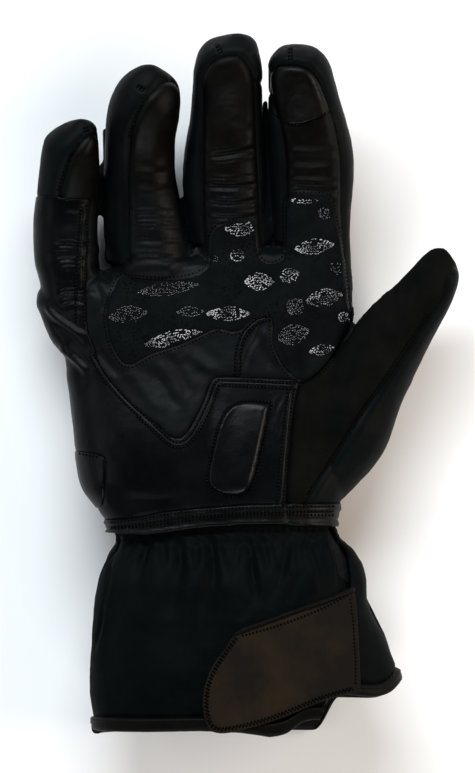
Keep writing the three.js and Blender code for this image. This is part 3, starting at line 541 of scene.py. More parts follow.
band_field = top_line_of(points) - points[:, 1]
end_field = points[:, 1] - bottom_line_of(points)

# The side walls between the fingers: the sides that face a neighbour, below the strips and up to the tips.
FACING = {0: (1,), 1: (-1, 1), 2: (-1, 1), 3: (-1,)}
WALL_ANGLE = 112.0
WALL_PER_DEGREE = 0.24
WALL_SHARE = 0.8
WALL_LENGTH = 90.0
FAR = 20.0
wall_field = np.full(len(points), -FAR)
for index, sides in FACING.items():
    for side in sides:
        on_side = np.where(np.sign(angle) == side, 1.0, -1.0)
        edge = (WALL_ANGLE - np.abs(angle)) * WALL_PER_DEGREE
        tip = (WALL_SHARE - share) * WALL_LENGTH
        inner = np.minimum(np.minimum(edge, tip), on_side * FAR)
        wall_field = np.where(digit_index == index, inner, wall_field)
WEB = [(88, 292), (100, 258), (118, 262), (150, 262), (204, 244), (270, 238), (290, 262), (290, 292)]
web_area = area_field(flat, WEB, 1)
wall_field = np.where(digit_index < 0, np.minimum(web_area, above + 9), wall_field)

COLUMNS = ["palm", "thumb", "thumb_back", "outer", "grip", "edge", "tip", "band", "end", "wall"]
rows = np.column_stack((points, palm_field, thumb_field, thumb_back_field, outer_field, grip_field,
                        edge_field, tip_field, band_field, end_field, wall_field))
column = {name: 3 + i for i, name in enumerate(COLUMNS)}
for name in COLUMNS:
    rows, faces = cut(rows, faces, column[name])
RIM = 0.55
for name in ("outer", "grip", "edge", "tip", "band"):
    rows[:, column[name]] -= RIM
    rows, faces = cut(rows, faces, column[name])
    rows[:, column[name]] += RIM


def field(name):
    return rows[:, column[name]]


# Relief: seams sink in, second layers stand up, and the leather bulges and creases.
points = rows[:, :3].copy()
normals = normals_of(points, faces)
flat = points[:, :2]
above, digit_index, angle, share = digit_fields(points)
on_top = ramp(above, -5, 3)
lift = np.zeros(len(points))


def groove(distance, depth, width):
    return -depth * bell(distance, width)


def sewn(distance, depth=0.9, width=1.1, puff=0.3):
    """A seam: a narrow valley with a soft swelling beside it."""
    return groove(distance, depth, width) + puff * bell(distance - 3.6, 2.2)


grip_on = field("grip") > 0
band_on = field("band") > 0
under_band = ramp(field("band"), -0.2, 1)
bare = 1 - np.maximum(ramp(field("outer"), -0.2, 1), under_band)
lift += sewn(np.abs(field("palm"))) * np.where(grip_on, 0.3, 1) * bare
lift += sewn(np.abs(field("thumb")), 0.6, 0.9) * np.where(band_on, 0.2, 1)
lift += sewn(np.abs(field("thumb_back")), 0.9) * (field("thumb") > 0) * (1 - under_band)
lift += groove(np.abs(field("wall")), 0.6, 1.0) * (field("palm") <= 0)

# Second layers: name, thickness in millimetres and strength of the dent beside the edge.
LAYERS = [("outer", 0.8, 0.8), ("grip", 0.7, 0.5), ("edge", 0.45, 0.7), ("tip", 0.35, 0.6),
          ("band", 0.7, 1.0)]
OUTER_TOP = (PLAN_Y - 196) * GRID
for name, thickness, shadow in LAYERS:
    value = field(name)
    if name == "outer":
        thickness = thickness * (0.3 + 0.7 * ramp(OUTER_TOP - flat[:, 1], 0, 14))
    lift += thickness * (0.72 * ramp(value, -0.02, RIM) + 0.28 * ramp(value, 0, 3.2))
    lift += groove(np.where(value > 0, 9, value), 0.35 * shadow, 1.0)

# Creases: points on the plan, depth and width in millimetres. A negative depth makes a ridge.
CREASES = [([(55, 246), (70, 244), (88, 249)], 1.3, 1.2), ([(54, 253), (72, 251), (86, 255)], 0.9, 1.0),
           ([(55, 260), (72, 258), (86, 262)], 0.8, 1.0), ([(62, 268), (74, 267), (84, 270)], 0.5, 1.0),
           ([(57, 285), (74, 283), (86, 287)], 0.7, 1.0), ([(58, 292), (74, 290), (88, 294)], 1.2, 1.2),
           ([(60, 301), (76, 300), (88, 303)], 0.9, 1.1), ([(66, 310), (78, 309), (86, 311)], 0.5, 1.0),
           ([(131, 212), (150, 211), (180, 214)], 0.7, 1.0), ([(132, 219), (150, 218), (182, 221)], 0.9, 1.2),
           ([(131, 226), (150, 227), (184, 228)], 0.8, 1.0), ([(131, 232), (152, 234), (185, 234)], 0.7, 1.0),
           ([(132, 240), (152, 241), (188, 241)], 0.9, 1.3), ([(130, 247), (150, 250), (192, 249)], 0.7, 1.3),
           ([(134, 256), (160, 258), (198, 256)], 0.8, 1.2),
           ([(206, 158), (226, 157), (244, 153), (258, 149)], 1.2, 1.2),
           ([(204, 165), (226, 165), (250, 160)], 0.5, 1.0), ([(204, 178), (230, 180), (260, 177)], 0.6, 1.0),
           ([(204, 187), (230, 189), (260, 185)], 1.5, 1.3), ([(205, 194), (232, 197), (262, 192)], 0.8, 1.0),
           ([(205, 202), (232, 206), (262, 199)], 1.3, 1.2), ([(206, 209), (232, 212), (262, 208)], 0.8, 1.0),
           ([(206, 216), (232, 219), (264, 215)], 0.9, 1.1), ([(286, 181), (316, 183), (341, 183)], 0.5, 1.0),
           ([(288, 189), (318, 191), (342, 191)], 1.1, 1.2), ([(286, 152), (310, 154), (340, 151)], 0.5, 1.4),
           ([(286, 168), (308, 170), (332, 168)], 0.35, 1.2),
           ([(228, 128), (240, 132), (256, 130)], 0.3, 1.6), ([(134, 190), (150, 194), (176, 190)], 0.5, 1.6),
           ([(134, 172), (150, 175), (172, 172)], 0.35, 1.4), ([(64, 214), (74, 216), (86, 214)], 0.4, 1.4),
           ([(96, 346), (106, 360), (121, 378)], 0.9, 1.7),
           ([(44, 302), (57, 318), (71, 328), (89, 340)], -1.3, 1.2),
           ([(60, 344), (74, 357), (90, 374)], -1.1, 1.2), ([(52, 322), (68, 336), (90, 352)], 1.0, 2.2),
           ([(64, 362), (78, 372), (92, 388)], 0.5, 2.2), ([(90, 262), (100, 272), (112, 284)], 0.7, 1.4),
           ([(92, 244), (102, 254), (114, 268)], -0.6, 1.5), ([(94, 286), (102, 296), (104, 314)], 0.6, 1.4),
           ([(120, 258), (148, 262), (176, 259)], 0.7, 1.6),
           ([(160, 272), (184, 266), (206, 257)], -0.9, 3.0),
           ([(264, 246), (272, 252), (284, 248)], 0.8, 1.6),
           ([(252, 318), (262, 324), (256, 338), (246, 352), (244, 372)], 0.6, 1.2),
           ([(276, 322), (276, 342), (282, 358), (292, 374)], 1.0, 1.1),
           ([(262, 326), (268, 344), (280, 366)], -0.7, 1.8),
           ([(182, 350), (200, 360), (216, 374)], -0.5, 2.2),
           ([(150, 366), (166, 388), (178, 412)], 0.6, 2.0), ([(162, 352), (180, 372), (190, 398)], 0.5, 1.8),
           ([(128, 368), (146, 392), (162, 416)], -0.5, 2.2),
           ([(207, 381), (216, 400), (210, 430), (204, 470)], 0.6, 2.4),
           ([(120, 470), (160, 480), (196, 470)], 0.2, 3.0),
           ([(100, 430), (118, 448), (150, 462)], 0.25, 3.0), ([(95, 486), (130, 500), (190, 498)], 0.3, 2.4),
           ([(280, 392), (276, 430), (271, 466), (266, 492)], -0.45, 4.2),
           ([(281, 396), (276, 408), (273, 424)], 0.22, 0.7),
           ([(284, 404), (279, 418), (275, 436)], 0.25, 0.7),
           ([(283, 420), (277, 434), (272, 452)], 0.25, 0.7),
           ([(281, 436), (275, 450), (269, 468)], 0.22, 0.7),
           ([(279, 454), (273, 468), (266, 482)], 0.2, 0.7), ([(344, 430), (332, 454), (316, 480)], 0.4, 3.2),
           ([(360, 352), (346, 384), (326, 420)], 0.4, 3.0), ([(398, 330), (380, 360), (352, 402)], 0.3, 2.6),
           ([(137, 89), (141, 92), (147, 94)], 0.7, 0.8), ([(216, 47), (219, 52), (222, 57)], 0.7, 0.8),
           ([(290, 50), (290, 58), (290, 66)], 0.7, 0.8), ([(84, 129), (88, 134), (91, 138)], 0.6, 0.8),
           ([(376, 292), (380, 300), (378, 310)], 0.6, 1.0), ([(390, 286), (394, 294), (392, 306)], 0.6, 1.0)]
for line, depth, width in CREASES:
    path = rounded(plan(line), rounds=2)
    distance, along, _ = nearest(flat, path)
    total = np.linalg.norm(np.diff(path, axis=0), axis=1).sum()
    fade = ramp(along, -0.1, total * 0.22) * ramp(total - along, -0.1, total * 0.22)
    fold = groove(distance, depth, width) + 0.45 * depth * bell(distance - 2.1 * width, 1.1 * width)
    lift += fold * fade * on_top

# The hollow of the palm, the mounds round it and the pads of the fingers: centre and radius on the plan, and
# height in millimetres.
MOUNDS = [((196, 336), 44, -2.6), ((112, 300), 34, 0.8), ((130, 446), 50, 1.4), ((330, 420), 44, 1.0),
          ((150, 116), 22, 0.7), ((230, 92), 24, 0.7), ((298, 98), 24, 0.6), ((84, 170), 20, 0.6),
          ((68, 224), 18, 0.8), ((152, 200), 20, 0.5), ((232, 172), 20, 0.5), ((314, 160), 22, 0.6),
          ((158, 262), 20, 1.2), ((232, 200), 14, 0.4), ((264, 255), 12, 0.5), ((298, 240), 22, 0.6),
          ((262, 350), 26, -0.8), ((236, 350), 30, 0.9), ((232, 440), 40, 0.8)]
for centre, radius, height in MOUNDS:
    distance = np.linalg.norm(flat - plan([centre])[0], axis=1)
    lift += height * bell(distance, radius * GRID) * on_top

# Uneven leather: the size of the waves in millimetres, the seed, the height and the stretch along Y.
UNEVEN = [(17.0, 1, 0.28, 1.0), (5.5, 2, 0.13, 1.0), (3.1, 3, 0.05, 1.6)]
calm = 1 - 0.6 * ramp(field("outer"), 0, 3)
for scale, seed, height, stretch in UNEVEN:
    lift += height * wobble(points * np.array([1.0, stretch, 1.0]), scale, seed) * calm

# The wrist band: a ridge between its two rows of stitches, a hollow and a rolled lower edge.
band_share = np.clip((top_line_of(flat) - flat[:, 1]) / (top_line_of(flat) - bottom_line_of(flat)), 0, 1)
BAND_FORM = [(0.0, 0.0), (0.08, -0.1), (0.14, 0.0), (0.24, 0.5), (0.34, 0.0), (0.4, -0.1), (0.5, 0.15),
             (0.62, 0.1), (0.72, -0.25), (0.8, 0.35), (0.9, 0.75), (1.0, 0.4)]
band_form = np.interp(band_share, *zip(*BAND_FORM))
lift += band_form * ramp(field("band"), -0.02, 0.4)
lift = np.where(normals[:, 2] < -0.5, np.minimum(lift, 0.2), lift)
points = points + normals * lift[:, None]
points[:, 2] = np.maximum(points[:, 2], 0.02)
normals = normals_of(points, faces)


# Labels of the triangles, from the first layer up to the last.
def on(name):
    return field(name)[faces].mean(1) > 0


centres = points[faces].mean(1)
digit_of_face = digit_index[faces[:, 0]]
label = np.full(len(faces), "back_shell", dtype="U32")
wall = on("wall") & ~on("palm") & ~on("thumb")
# Each gap between two fingers: the plan's x of its root, and its side walls' name.
GAPS = [(120, "little_ring_fourchette"), (200, "ring_middle_fourchette"), (272, "middle_index_fourchette")]
side_of_face = np.sign(angle[faces].mean(1))
gap_index = np.clip(digit_of_face - (side_of_face < 0), 0, 2)
gap_roots = (np.array([x for x, _ in GAPS]) - PLAN_X) * GRID
nearest_root = np.argmin(np.abs(centres[:, :1] - gap_roots), axis=1)
gap_index = np.where((digit_of_face < 0) | (digit_of_face > 3), nearest_root, gap_index)
for index, (_, name) in enumerate(GAPS):
    label[wall & (gap_index == index)] = name
PANELS = [("palm", "palm_leather"), ("thumb", "thumb_palm_panel"), ("grip", "grip_panel"),
          ("tip", "index_touch_tip"), ("outer", "outer_hand_panel"), ("edge", "edge_patch"),
          ("band", "wrist_band")]
for name, panel in PANELS:
    label[on(name)] = panel
label[(label == "thumb_palm_panel") & on("thumb_back")] = "thumb_back_panel"
label[~on("end")] = ""
hand_tree = tree_of(points, faces)


# Materials.
def node_material(name):
    material = bpy.data.materials.new(name)
    material.use_nodes = True
    tree = material.node_tree
    shader = tree.nodes["Principled BSDF"]
    coordinates = tree.nodes.new("ShaderNodeTexCoord")
    return material, tree, shader, coordinates.outputs["Object"]


def noise_node(tree, vector, scale, detail=4.0, rough=0.55):
    node = tree.nodes.new("ShaderNodeTexNoise")
    node.inputs["Scale"].default_value = scale
    node.inputs["Detail"].default_value = detail
    node.inputs["Roughness"].default_value = rough
    tree.links.new(vector, node.inputs["Vector"])
    return node.outputs["Fac"]


def ramp_node(tree, value, stops):
    node = tree.nodes.new("ShaderNodeValToRGB")
    elements = node.color_ramp.elements
    while len(elements) < len(stops):
        elements.new(0.5)
    for element, (position, colour) in zip(elements, stops):
        element.position = position
        element.color = (*colour, 1) if len(colour) == 3 else colour
    tree.links.new(value, node.inputs["Fac"])
    return node.outputs["Color"]


def math_node(tree, operation, a, b):
    node = tree.nodes.new("ShaderNodeMath")
    node.operation = operation
    for socket, value in zip(node.inputs, (a, b)):
        if hasattr(value, "links"):
            tree.links.new(value, socket)
        else:
            socket.default_value = value
    return node.outputs["Value"]


def mixed(tree, factor, first, second):
    node = tree.nodes.new("ShaderNodeMixRGB")
    for socket, value in zip(node.inputs, (factor, first, second)):
        tree.links.new(value, socket)
    return node.outputs["Color"]


def bump(tree, shader, height, strength, distance):
    node = tree.nodes.new("ShaderNodeBump")
    node.inputs["Strength"].default_value = strength
    node.inputs["Distance"].default_value = distance * METRE
    tree.links.new(height, node.inputs["Height"])
    tree.links.new(node.outputs["Normal"], shader.inputs["Normal"])


def grey(value):
    return (value, value, value)


def leather(name, dark, light, rough=(0.32, 0.46), grain=1500.0, grain_depth=0.06, gloss=0.1, upper=None):
    """Grained leather: pebbles, fine creases, a cloudy colour and an uneven gloss. Upper gives the two
    colours of the fingers' leather."""
    material, tree, shader, spot = node_material(name)
    clouds = noise_node(tree, spot, 55.0, 6.0, 0.62)
    colour = ramp_node(tree, clouds, [(0.36, dark), (0.66, light)])
    if upper:
        axes = tree.nodes.new("ShaderNodeSeparateXYZ")
        tree.links.new(spot, axes.inputs["Vector"])
        wandering = math_node(tree, "MULTIPLY", noise_node(tree, spot, 30.0, 4.0), 0.05)
        place = math_node(tree, "ADD", axes.outputs["Y"], wandering)
        reach = tree.nodes.new("ShaderNodeMapRange")
        reach.inputs["From Min"].default_value = FINGERS_FROM * METRE
        reach.inputs["From Max"].default_value = FINGERS_TO * METRE
        tree.links.new(place, reach.inputs["Value"])
        colour = mixed(tree, reach.outputs["Result"], colour,
                       ramp_node(tree, clouds, [(0.36, upper[0]), (0.66, upper[1])]))
    tree.links.new(colour, shader.inputs["Base Color"])
    patches = noise_node(tree, spot, 95.0, 4.0)
    tree.links.new(ramp_node(tree, patches, [(0.3, grey(rough[0])), (0.7, grey(rough[1]))]),
                   shader.inputs["Roughness"])
    pebble = tree.nodes.new("ShaderNodeTexVoronoi")
    pebble.feature = "DISTANCE_TO_EDGE"
    pebble.inputs["Scale"].default_value = grain
    tree.links.new(spot, pebble.inputs["Vector"])
    edge = ramp_node(tree, pebble.outputs["Distance"], [(0.0, grey(0.0)), (0.16, grey(1.0))])
    creases = noise_node(tree, spot, 260.0, 3.0, 0.5)
    pebbles = math_node(tree, "MULTIPLY", edge, 0.25)
    height = math_node(tree, "ADD", pebbles, math_node(tree, "MULTIPLY", creases, 4.0))
    bump(tree, shader, height, 0.6, grain_depth)
    shader.inputs["Specular IOR Level"].default_value = gloss
    return material


def napped(name, dark, light, rough=0.92, fine=1900.0, depth=0.14, clouds=60.0, gloss=0.03,
           spread=(0.34, 0.68), pitted=0.0):
    """Suede or nubuck: a short nap that is brushed unevenly. Pitted is how many small dark dots a metre has,
    in uneven patches."""
    material, tree, shader, spot = node_material(name)
    brushed = noise_node(tree, spot, clouds, 6.0, 0.62)
    colour = ramp_node(tree, brushed, [(spread[0], dark), (spread[1], light)])
    if pitted:
        cells = tree.nodes.new("ShaderNodeTexVoronoi")
        cells.inputs["Scale"].default_value = pitted
        tree.links.new(spot, cells.inputs["Vector"])
        dots = ramp_node(tree, cells.outputs["Distance"], [(0.22, grey(1.0)), (0.42, grey(0.0))])
        patches = ramp_node(tree, noise_node(tree, spot, 75.0, 3.0), [(0.46, grey(0.0)), (0.58, grey(0.85))])
        mix = tree.nodes.new("ShaderNodeMixRGB")
        tree.links.new(math_node(tree, "MULTIPLY", dots, patches), mix.inputs["Fac"])
        tree.links.new(colour, mix.inputs["Color1"])
        mix.inputs["Color2"].default_value = (*PIT_COLOUR, 1)
        colour = mix.outputs["Color"]
    tree.links.new(colour, shader.inputs["Base Color"])
    shader.inputs["Roughness"].default_value = rough
    nap = noise_node(tree, spot, fine, 5.0, 0.75)
    broad = noise_node(tree, spot, 260.0, 4.0, 0.6)
    bump(tree, shader, math_node(tree, "ADD", nap, math_node(tree, "MULTIPLY", broad, 1.6)), 0.6, depth)
    shader.inputs["Specular IOR Level"].default_value = gloss
    return material


def woven(name, dark, light, threads=2100.0, depth=0.1, rough=0.85, gloss=0.03):
    """A matt woven cloth: two crossing waves of threads, and a slightly uneven dye."""
    material, tree, shader, spot = node_material(name)
    dye = noise_node(tree, spot, 44.0, 5.0, 0.6)
    tree.links.new(ramp_node(tree, dye, [(0.34, dark), (0.68, light)]), shader.inputs["Base Color"])
    shader.inputs["Roughness"].default_value = rough
    heights = []
    for direction in ("X", "Y"):
        wave = tree.nodes.new("ShaderNodeTexWave")
        wave.bands_direction = direction
        wave.inputs["Scale"].default_value = threads / 6.3
        wave.inputs["Distortion"].default_value = 0.8
        wave.inputs["Detail"].default_value = 2.0
        tree.links.new(spot, wave.inputs["Vector"])
        heights.append(wave.outputs["Fac"])
    weave = math_node(tree, "MULTIPLY", heights[0], heights[1])
    fuzz = noise_node(tree, spot, 900.0, 5.0, 0.7)
    bump(tree, shader, math_node(tree, "ADD", weave, math_node(tree, "MULTIPLY", fuzz, 0.9)), 0.5, depth)
    shader.inputs["Specular IOR Level"].default_value = gloss
    return material


BROWN = ((0.0004, 0.00035, 0.0003), (0.0015, 0.0012, 0.0008))
PIT_COLOUR = (0.0006, 0.0008, 0.0009)
FINGERS_FROM = 90.0
FINGERS_TO = 112.0
palm_leather = leather("palm_leather_grain", (0.0012, 0.0018, 0.0021), (0.0026, 0.0036, 0.0042), (0.4, 0.56),
                       gloss=0.07, upper=BROWN)
finger_leather = leather("finger_leather_grain", *BROWN)
HEEL = ((0.001, 0.0014, 0.0017), (0.0024, 0.0031, 0.0035))
heel_leather = leather("heel_leather_grain", *HEEL, (0.3, 0.42), gloss=0.08)
outer_leather = leather("outer_leather_grain", *HEEL, (0.3, 0.42), gloss=0.06, upper=BROWN)
pad_leather = leather("pad_leather_grain", (0.001, 0.0014, 0.0016), (0.0028, 0.0031, 0.0033), (0.28, 0.4),
                      gloss=0.12)
band_leather = leather("band_leather_grain", (0.0009, 0.0012, 0.0014), (0.003, 0.0029, 0.0028), (0.34, 0.48))
GRIP_PITS = 720.0
suede = napped("grip_suede", (0.0016, 0.0022, 0.0026), (0.0046, 0.0059, 0.0065), pitted=GRIP_PITS)
thumb_suede = napped("thumb_suede", (0.0017, 0.002, 0.0018), (0.0044, 0.0043, 0.0038), depth=0.1)
nubuck = napped("strap_nubuck", (0.0082, 0.0068, 0.0053), (0.0182, 0.0122, 0.007), rough=0.8, fine=1500.0,
                depth=0.12, clouds=26.0, spread=(0.46, 0.66))
softshell = woven("softshell_weave", (0.001, 0.0016, 0.0018), (0.0024, 0.0034, 0.0036), depth=0.07, rough=0.5,
                  gloss=0.04)
cuff_cloth = woven("cuff_weave", (0.0007, 0.0015, 0.0016), (0.0018, 0.0032, 0.0034), threads=1700.0,
                   depth=0.08, rough=0.58, gloss=0.025)
binding_cloth = woven("binding_weave", (0.0008, 0.0007, 0.0006), (0.003, 0.0024, 0.0019), threads=1400.0,
                      depth=0.12, rough=0.5, gloss=0.06)
strap_trim = woven("strap_binding_weave", (0.0012, 0.0011, 0.001), (0.0036, 0.003, 0.0025), threads=1400.0,
                   depth=0.12, rough=0.55, gloss=0.05)
fleece = napped("lining_fleece", (0.006, 0.006, 0.0065), (0.012, 0.012, 0.0125), rough=0.95, fine=700.0,
                depth=0.5)
thread = napped("sewing_thread", (0.0004, 0.0005, 0.0005), (0.0012, 0.0012, 0.0012), rough=0.7, fine=2600.0,
                depth=0.05, gloss=0.02)


def silicone(name, dark, light):
    material, tree, shader, spot = node_material(name)
    clouds = noise_node(tree, spot, 150.0, 4.0)
    tree.links.new(ramp_node(tree, clouds, [(0.42, dark), (0.6, light)]), shader.inputs["Base Color"])
    tree.links.new(ramp_node(tree, clouds, [(0.3, grey(0.16)), (0.7, grey(0.3))]), shader.inputs["Roughness"])
    shader.inputs["Specular IOR Level"].default_value = 0.8
    return material


# The first set's light colour, brightest where the clouds peak, is a painted highlight: it paints glints on
# the silicone. The second set is the same silicone without the painted glint.
silicone_with_painted_glint = silicone("silicone_beads", (0.016, 0.018, 0.02), (0.42, 0.43, 0.44))
silicone_without_painted_glint = silicone("silicone_beads_without_painted_glint", (0.006, 0.007, 0.008), (0.05, 0.054, 0.056))


# Each panel of the hand: its node, material and slot.
LOOK = [("palm_leather", palm_leather, "leather"), ("back_shell", softshell, "softshell"),
        *[(name, softshell, "softshell") for _, name in GAPS],
        ("thumb_palm_panel", thumb_suede, "suede"), ("thumb_back_panel", softshell, "softshell"),
        ("grip_panel", suede, "suede"), ("outer_hand_panel", outer_leather, "leather"),
        ("edge_patch", heel_leather, "leather"), ("index_touch_tip", finger_leather, "leather"),
        ("wrist_band", band_leather, "leather")]
WALL = 1.1
for name, material, slot in LOOK:
    shown(name + "_sewn", *part_of(points, normals, faces, label == name, WALL), material, slot, (name,))


# The cuff. Its left and right edges follow the plan, and its rows run down to the hem. Each row has the
# plan's y and the left and right edges there.
CUFF_EDGES = [(519, 112, 334), (526, 111, 337), (538, 112.5, 344), (550, 113, 351), (562, 109, 358),
              (574, 103.5, 362), (586, 99.5, 365), (598, 96, 367), (610, 93.6, 373), (622, 92.4, 379),
              (634, 91.6, 385), (646, 91.4, 389), (658, 90.6, 392), (670, 89.6, 396.5), (682, 89.6, 400),
              (694, 89.8, 402), (706, 91.4, 403), (718, 93, 404), (731, 95, 405)]
# Down is the share of the length, and bottom and top are heights in millimetres.
CUFF_HEIGHTS = [(0, 4.4, 43.4), (0.035, 4.8, 44.4), (0.1, 2.6, 46.2), (0.18, 1.6, 48.6), (0.3, 1.4, 52.8),
                (0.46, 1.4, 56.4), (0.7, 1.4, 59.2), (1, 1.4, 59.6)]
CUFF_LENGTH = 86.4
CUFF_ROUNDNESS = 2.3
CUFF_ALLOWANCE = 0.2
CUFF_FLOOR = 0.3
GUSSET_RISE = 14.0
CORNER_RISE = 8.0
HEM_WAVE = 3.6
# Where the hem's edge lies on the palm side: x and y of the plan.
HEM_LINE = [(80, 732), (96, 732), (150, 731), (200, 729.5), (239, 731), (258, 733.5), (269, 735.5),
            (286, 733), (301, 727), (312, 727), (340, 727), (420, 735)]
HEM_DROP = 736.0
CUFF_WALL = 2.0
LINING_DEPTH = 3.2
BINDING = 5.2
# Gathers under the band: the plan's x of each fold, how deep it is, how wide, and how far down it runs, as
# shares of the length.
GATHERS = [(118, 1.2, 5, 0.2), (132, 1.6, 5, 0.24), (147, 2.6, 5.5, 0.3), (163, 1.5, 5, 0.24),
           (179, 3.0, 6, 0.34), (196, 1.6, 5, 0.24), (211, 2.8, 5.5, 0.42), (226, 1.4, 4.6, 0.26),
           (239, 2.4, 5, 0.3), (249, 2.8, 4.6, 0.58), (263, 2.4, 5, 0.28), (275, 1.4, 4.2, 0.26),
           (287, 2.2, 4.6, 0.4), (299, 1.5, 4.2, 0.3), (311, 2.2, 4.6, 0.44), (322, 1.8, 4.4, 0.4),
           (334, 2.0, 4.6, 0.5), (346, 1.6, 4.6, 0.4)]
# Long soft folds down the cloth: start, end, depth, half width in millimetres.
CUFF_FOLDS = [((117, 548), (105, 602), 1.0, 0.7), ((105, 598), (95, 650), 1.0, 0.7),
              ((214, 556), (205, 644), 1.6, 3.2), ((248, 556), (253, 596), 1.8, 2.4),
              ((181, 552), (168, 616), 1.5, 3.4), ((148, 548), (134, 606), 1.2, 3.2),
              ((288, 552), (266, 606), 1.6, 2.8), ((310, 548), (316, 592), -1.1, 2.4),
              ((291, 546), (292, 574), -1.2, 2.0), ((232, 590), (186, 706), 1.2, 7.0),
              ((152, 616), (118, 706), 1.0, 7.0), ((366, 580), (384, 660), 0.9, 5.0),
              ((122, 556), (104, 664), 0.9, 3.4), ((228, 560), (226, 624), -0.9, 4.0),
              ((196, 560), (186, 640), -1.0, 4.6), ((164, 560), (150, 630), -0.9, 4.2),
              ((268, 572), (238, 618), 1.0, 2.6), ((300, 566), (286, 600), 0.9, 2.2),
              ((344, 548), (352, 590), 1.2, 2.6), ((356, 560), (366, 610), -0.9, 3.0)]
CUFF_SWELL = 1.7
GATHER_LEAN = 46


def cuff_ring_y(down, turn):
    """The place along Y of a row at each turn. Zero turn is the thumb side."""
    away = np.abs(np.arctan2(np.sin(turn), np.cos(turn)))
    gusset = 1 - ramp(away, 0.98, 1.2)
    corner = 1 - ramp(away, 0, 0.7)
    wave = (1 - ramp(away, 1.2, 1.44)) * (np.sin(turn) > 0)
    rise = np.maximum(GUSSET_RISE * gusset, HEM_WAVE * wave) + CORNER_RISE * corner
    return WRIST_Y + 3.0 - down * (CUFF_LENGTH + 3.0 - rise)


def cuff_surface(down, turn, grow=0.0, folded=1.0):
    """Points of the cuff for shares of its length and turns round it, on a surface grown by a distance."""
    y = cuff_ring_y(down, turn)
    edges = np.array(CUFF_EDGES, float)
    rows_y = PLAN_Y - y / GRID
    left = (np.interp(rows_y, edges[:, 0], edges[:, 1]) - PLAN_X) * GRID + CUFF_ALLOWANCE
    right = (np.interp(rows_y, edges[:, 0], edges[:, 2]) - PLAN_X) * GRID - CUFF_ALLOWANCE
    heights = np.array(CUFF_HEIGHTS)
    bottom = np.interp(down, heights[:, 0], heights[:, 1])
    top = np.interp(down, heights[:, 0], heights[:, 2])
    half_x = (right - left) / 2 + grow
    half_z = (top - bottom) / 2 + grow
    cosine, sine = squared(np.cos(turn), CUFF_ROUNDNESS), squared(np.sin(turn), CUFF_ROUNDNESS)
    x = (left + right) / 2 + cosine * half_x
    z = (top + bottom) / 2 + sine * half_z
    fold = np.zeros_like(x)
    grid_x = x / GRID + PLAN_X
    facing = np.where(np.sin(turn) > 0, 1.0, -1.0)
    puff = ramp(down, 0.1, 0.17) * (1 - ramp(down, 0.2, 0.48))
    pleat = np.zeros_like(x)
    for centre, depth, width, reach in GATHERS:
        lean = GATHER_LEAN * math.sin(centre * 1.7)
        place = np.where(facing > 0, centre, centre + 7) + lean * (down - 0.11)
        across = bell(grid_x - place, width)
        down_fade = ramp(down, 0.06 + 0.03 * math.sin(centre), 0.13)
        down_fade = down_fade * (1 - ramp(down, 0.14, reach * 0.7 + 0.08))
        pleat += across * down_fade
        fold -= 0.8 * depth * across * down_fade
    # Small puckers in the band's shirring.
    shirred = ramp(down, 0.02, 0.05) * (1 - ramp(down, 0.1, 0.15))
    pucker = np.sin(grid_x * 0.62 + 2.2 * np.sin(down * 60)) * np.sin(grid_x * 0.23 + down * 90)
    fold += shirred * (0.3 * pucker - 0.9)
    fold += CUFF_SWELL * puff * (1 - 0.5 * np.minimum(pleat, 1))
    spots = np.stack((x.ravel(), y.ravel()), 1)
    for start, end, depth, width in CUFF_FOLDS:
        path = plan([start, end])
        distance, along, _ = nearest(spots, path, reach=width * 3)
        total = np.linalg.norm(path[1] - path[0])
        fade = np.sin(np.clip(along / total, 0, 1) * math.pi) ** 0.7
        shape = groove(distance, depth, width) * fade * (facing.ravel() > 0)
        fold += shape.reshape(x.shape)
    fold *= folded
    hem_lift = HEM_DROP - np.interp(grid_x, *zip(*HEM_LINE))
    y = y + hem_lift * GRID * ramp(down, 0.6, 1) * (facing > 0)
    out_x, out_z = cosine / np.maximum(half_x, 1), sine / np.maximum(half_z, 1)
    length = np.maximum(np.hypot(out_x, out_z), 1e-6)
    x = x + fold * out_x / length
    z = z + fold * out_z / length
    return np.stack((x, y, np.maximum(z, 0.1 - min(grow, 0))), -1)


def cuff_grid(down_from, down_to, rows_count, turns_count, grow=0.0, folded=1.0):
    """The cuff as an open tube of triangles, with each point's share of the length."""
    down = np.linspace(down_from, down_to, rows_count)[:, None]
    turn = (np.arange(turns_count) / turns_count * 2 * math.pi)[None, :]
    down, turn = np.broadcast_arrays(down, turn)
    spots = cuff_surface(down, turn, grow, folded).reshape(-1, 3)
    index = np.arange(rows_count * turns_count).reshape(rows_count, turns_count)
    after = np.roll(index, -1, axis=1)
    a, b, c, d = index[:-1], after[:-1], after[1:], index[1:]
    return spots, triangles_of(b, c, d, a), down.ravel()


CUFF_ROWS = 96
CUFF_TURNS = 460
CUFF_SEAM_HEIGHT = 30.0
PLACKET = [(327, 500), (328, 530), (334, 551), (338, 569), (338, 585), (341, 610), (342, 650), (331, 690),
           (324, 699), (321, 712), (317, 722), (309, 728), (306, 760)]
PLACKET_WIDTH = 5.5
GUSSET_REACH = 9
GUSSET_WALL = 0.8


def right_of_placket(points, shift=0.0):
    """How far points lie to the right of the slit's left edge, moved by a shift."""
    path = rounded(plan(PLACKET), rounds=2)
    order = np.argsort(path[:, 1])
    x = np.interp(points[:, 1], path[order, 1], path[order, 0])
    return points[:, 0] - x - shift


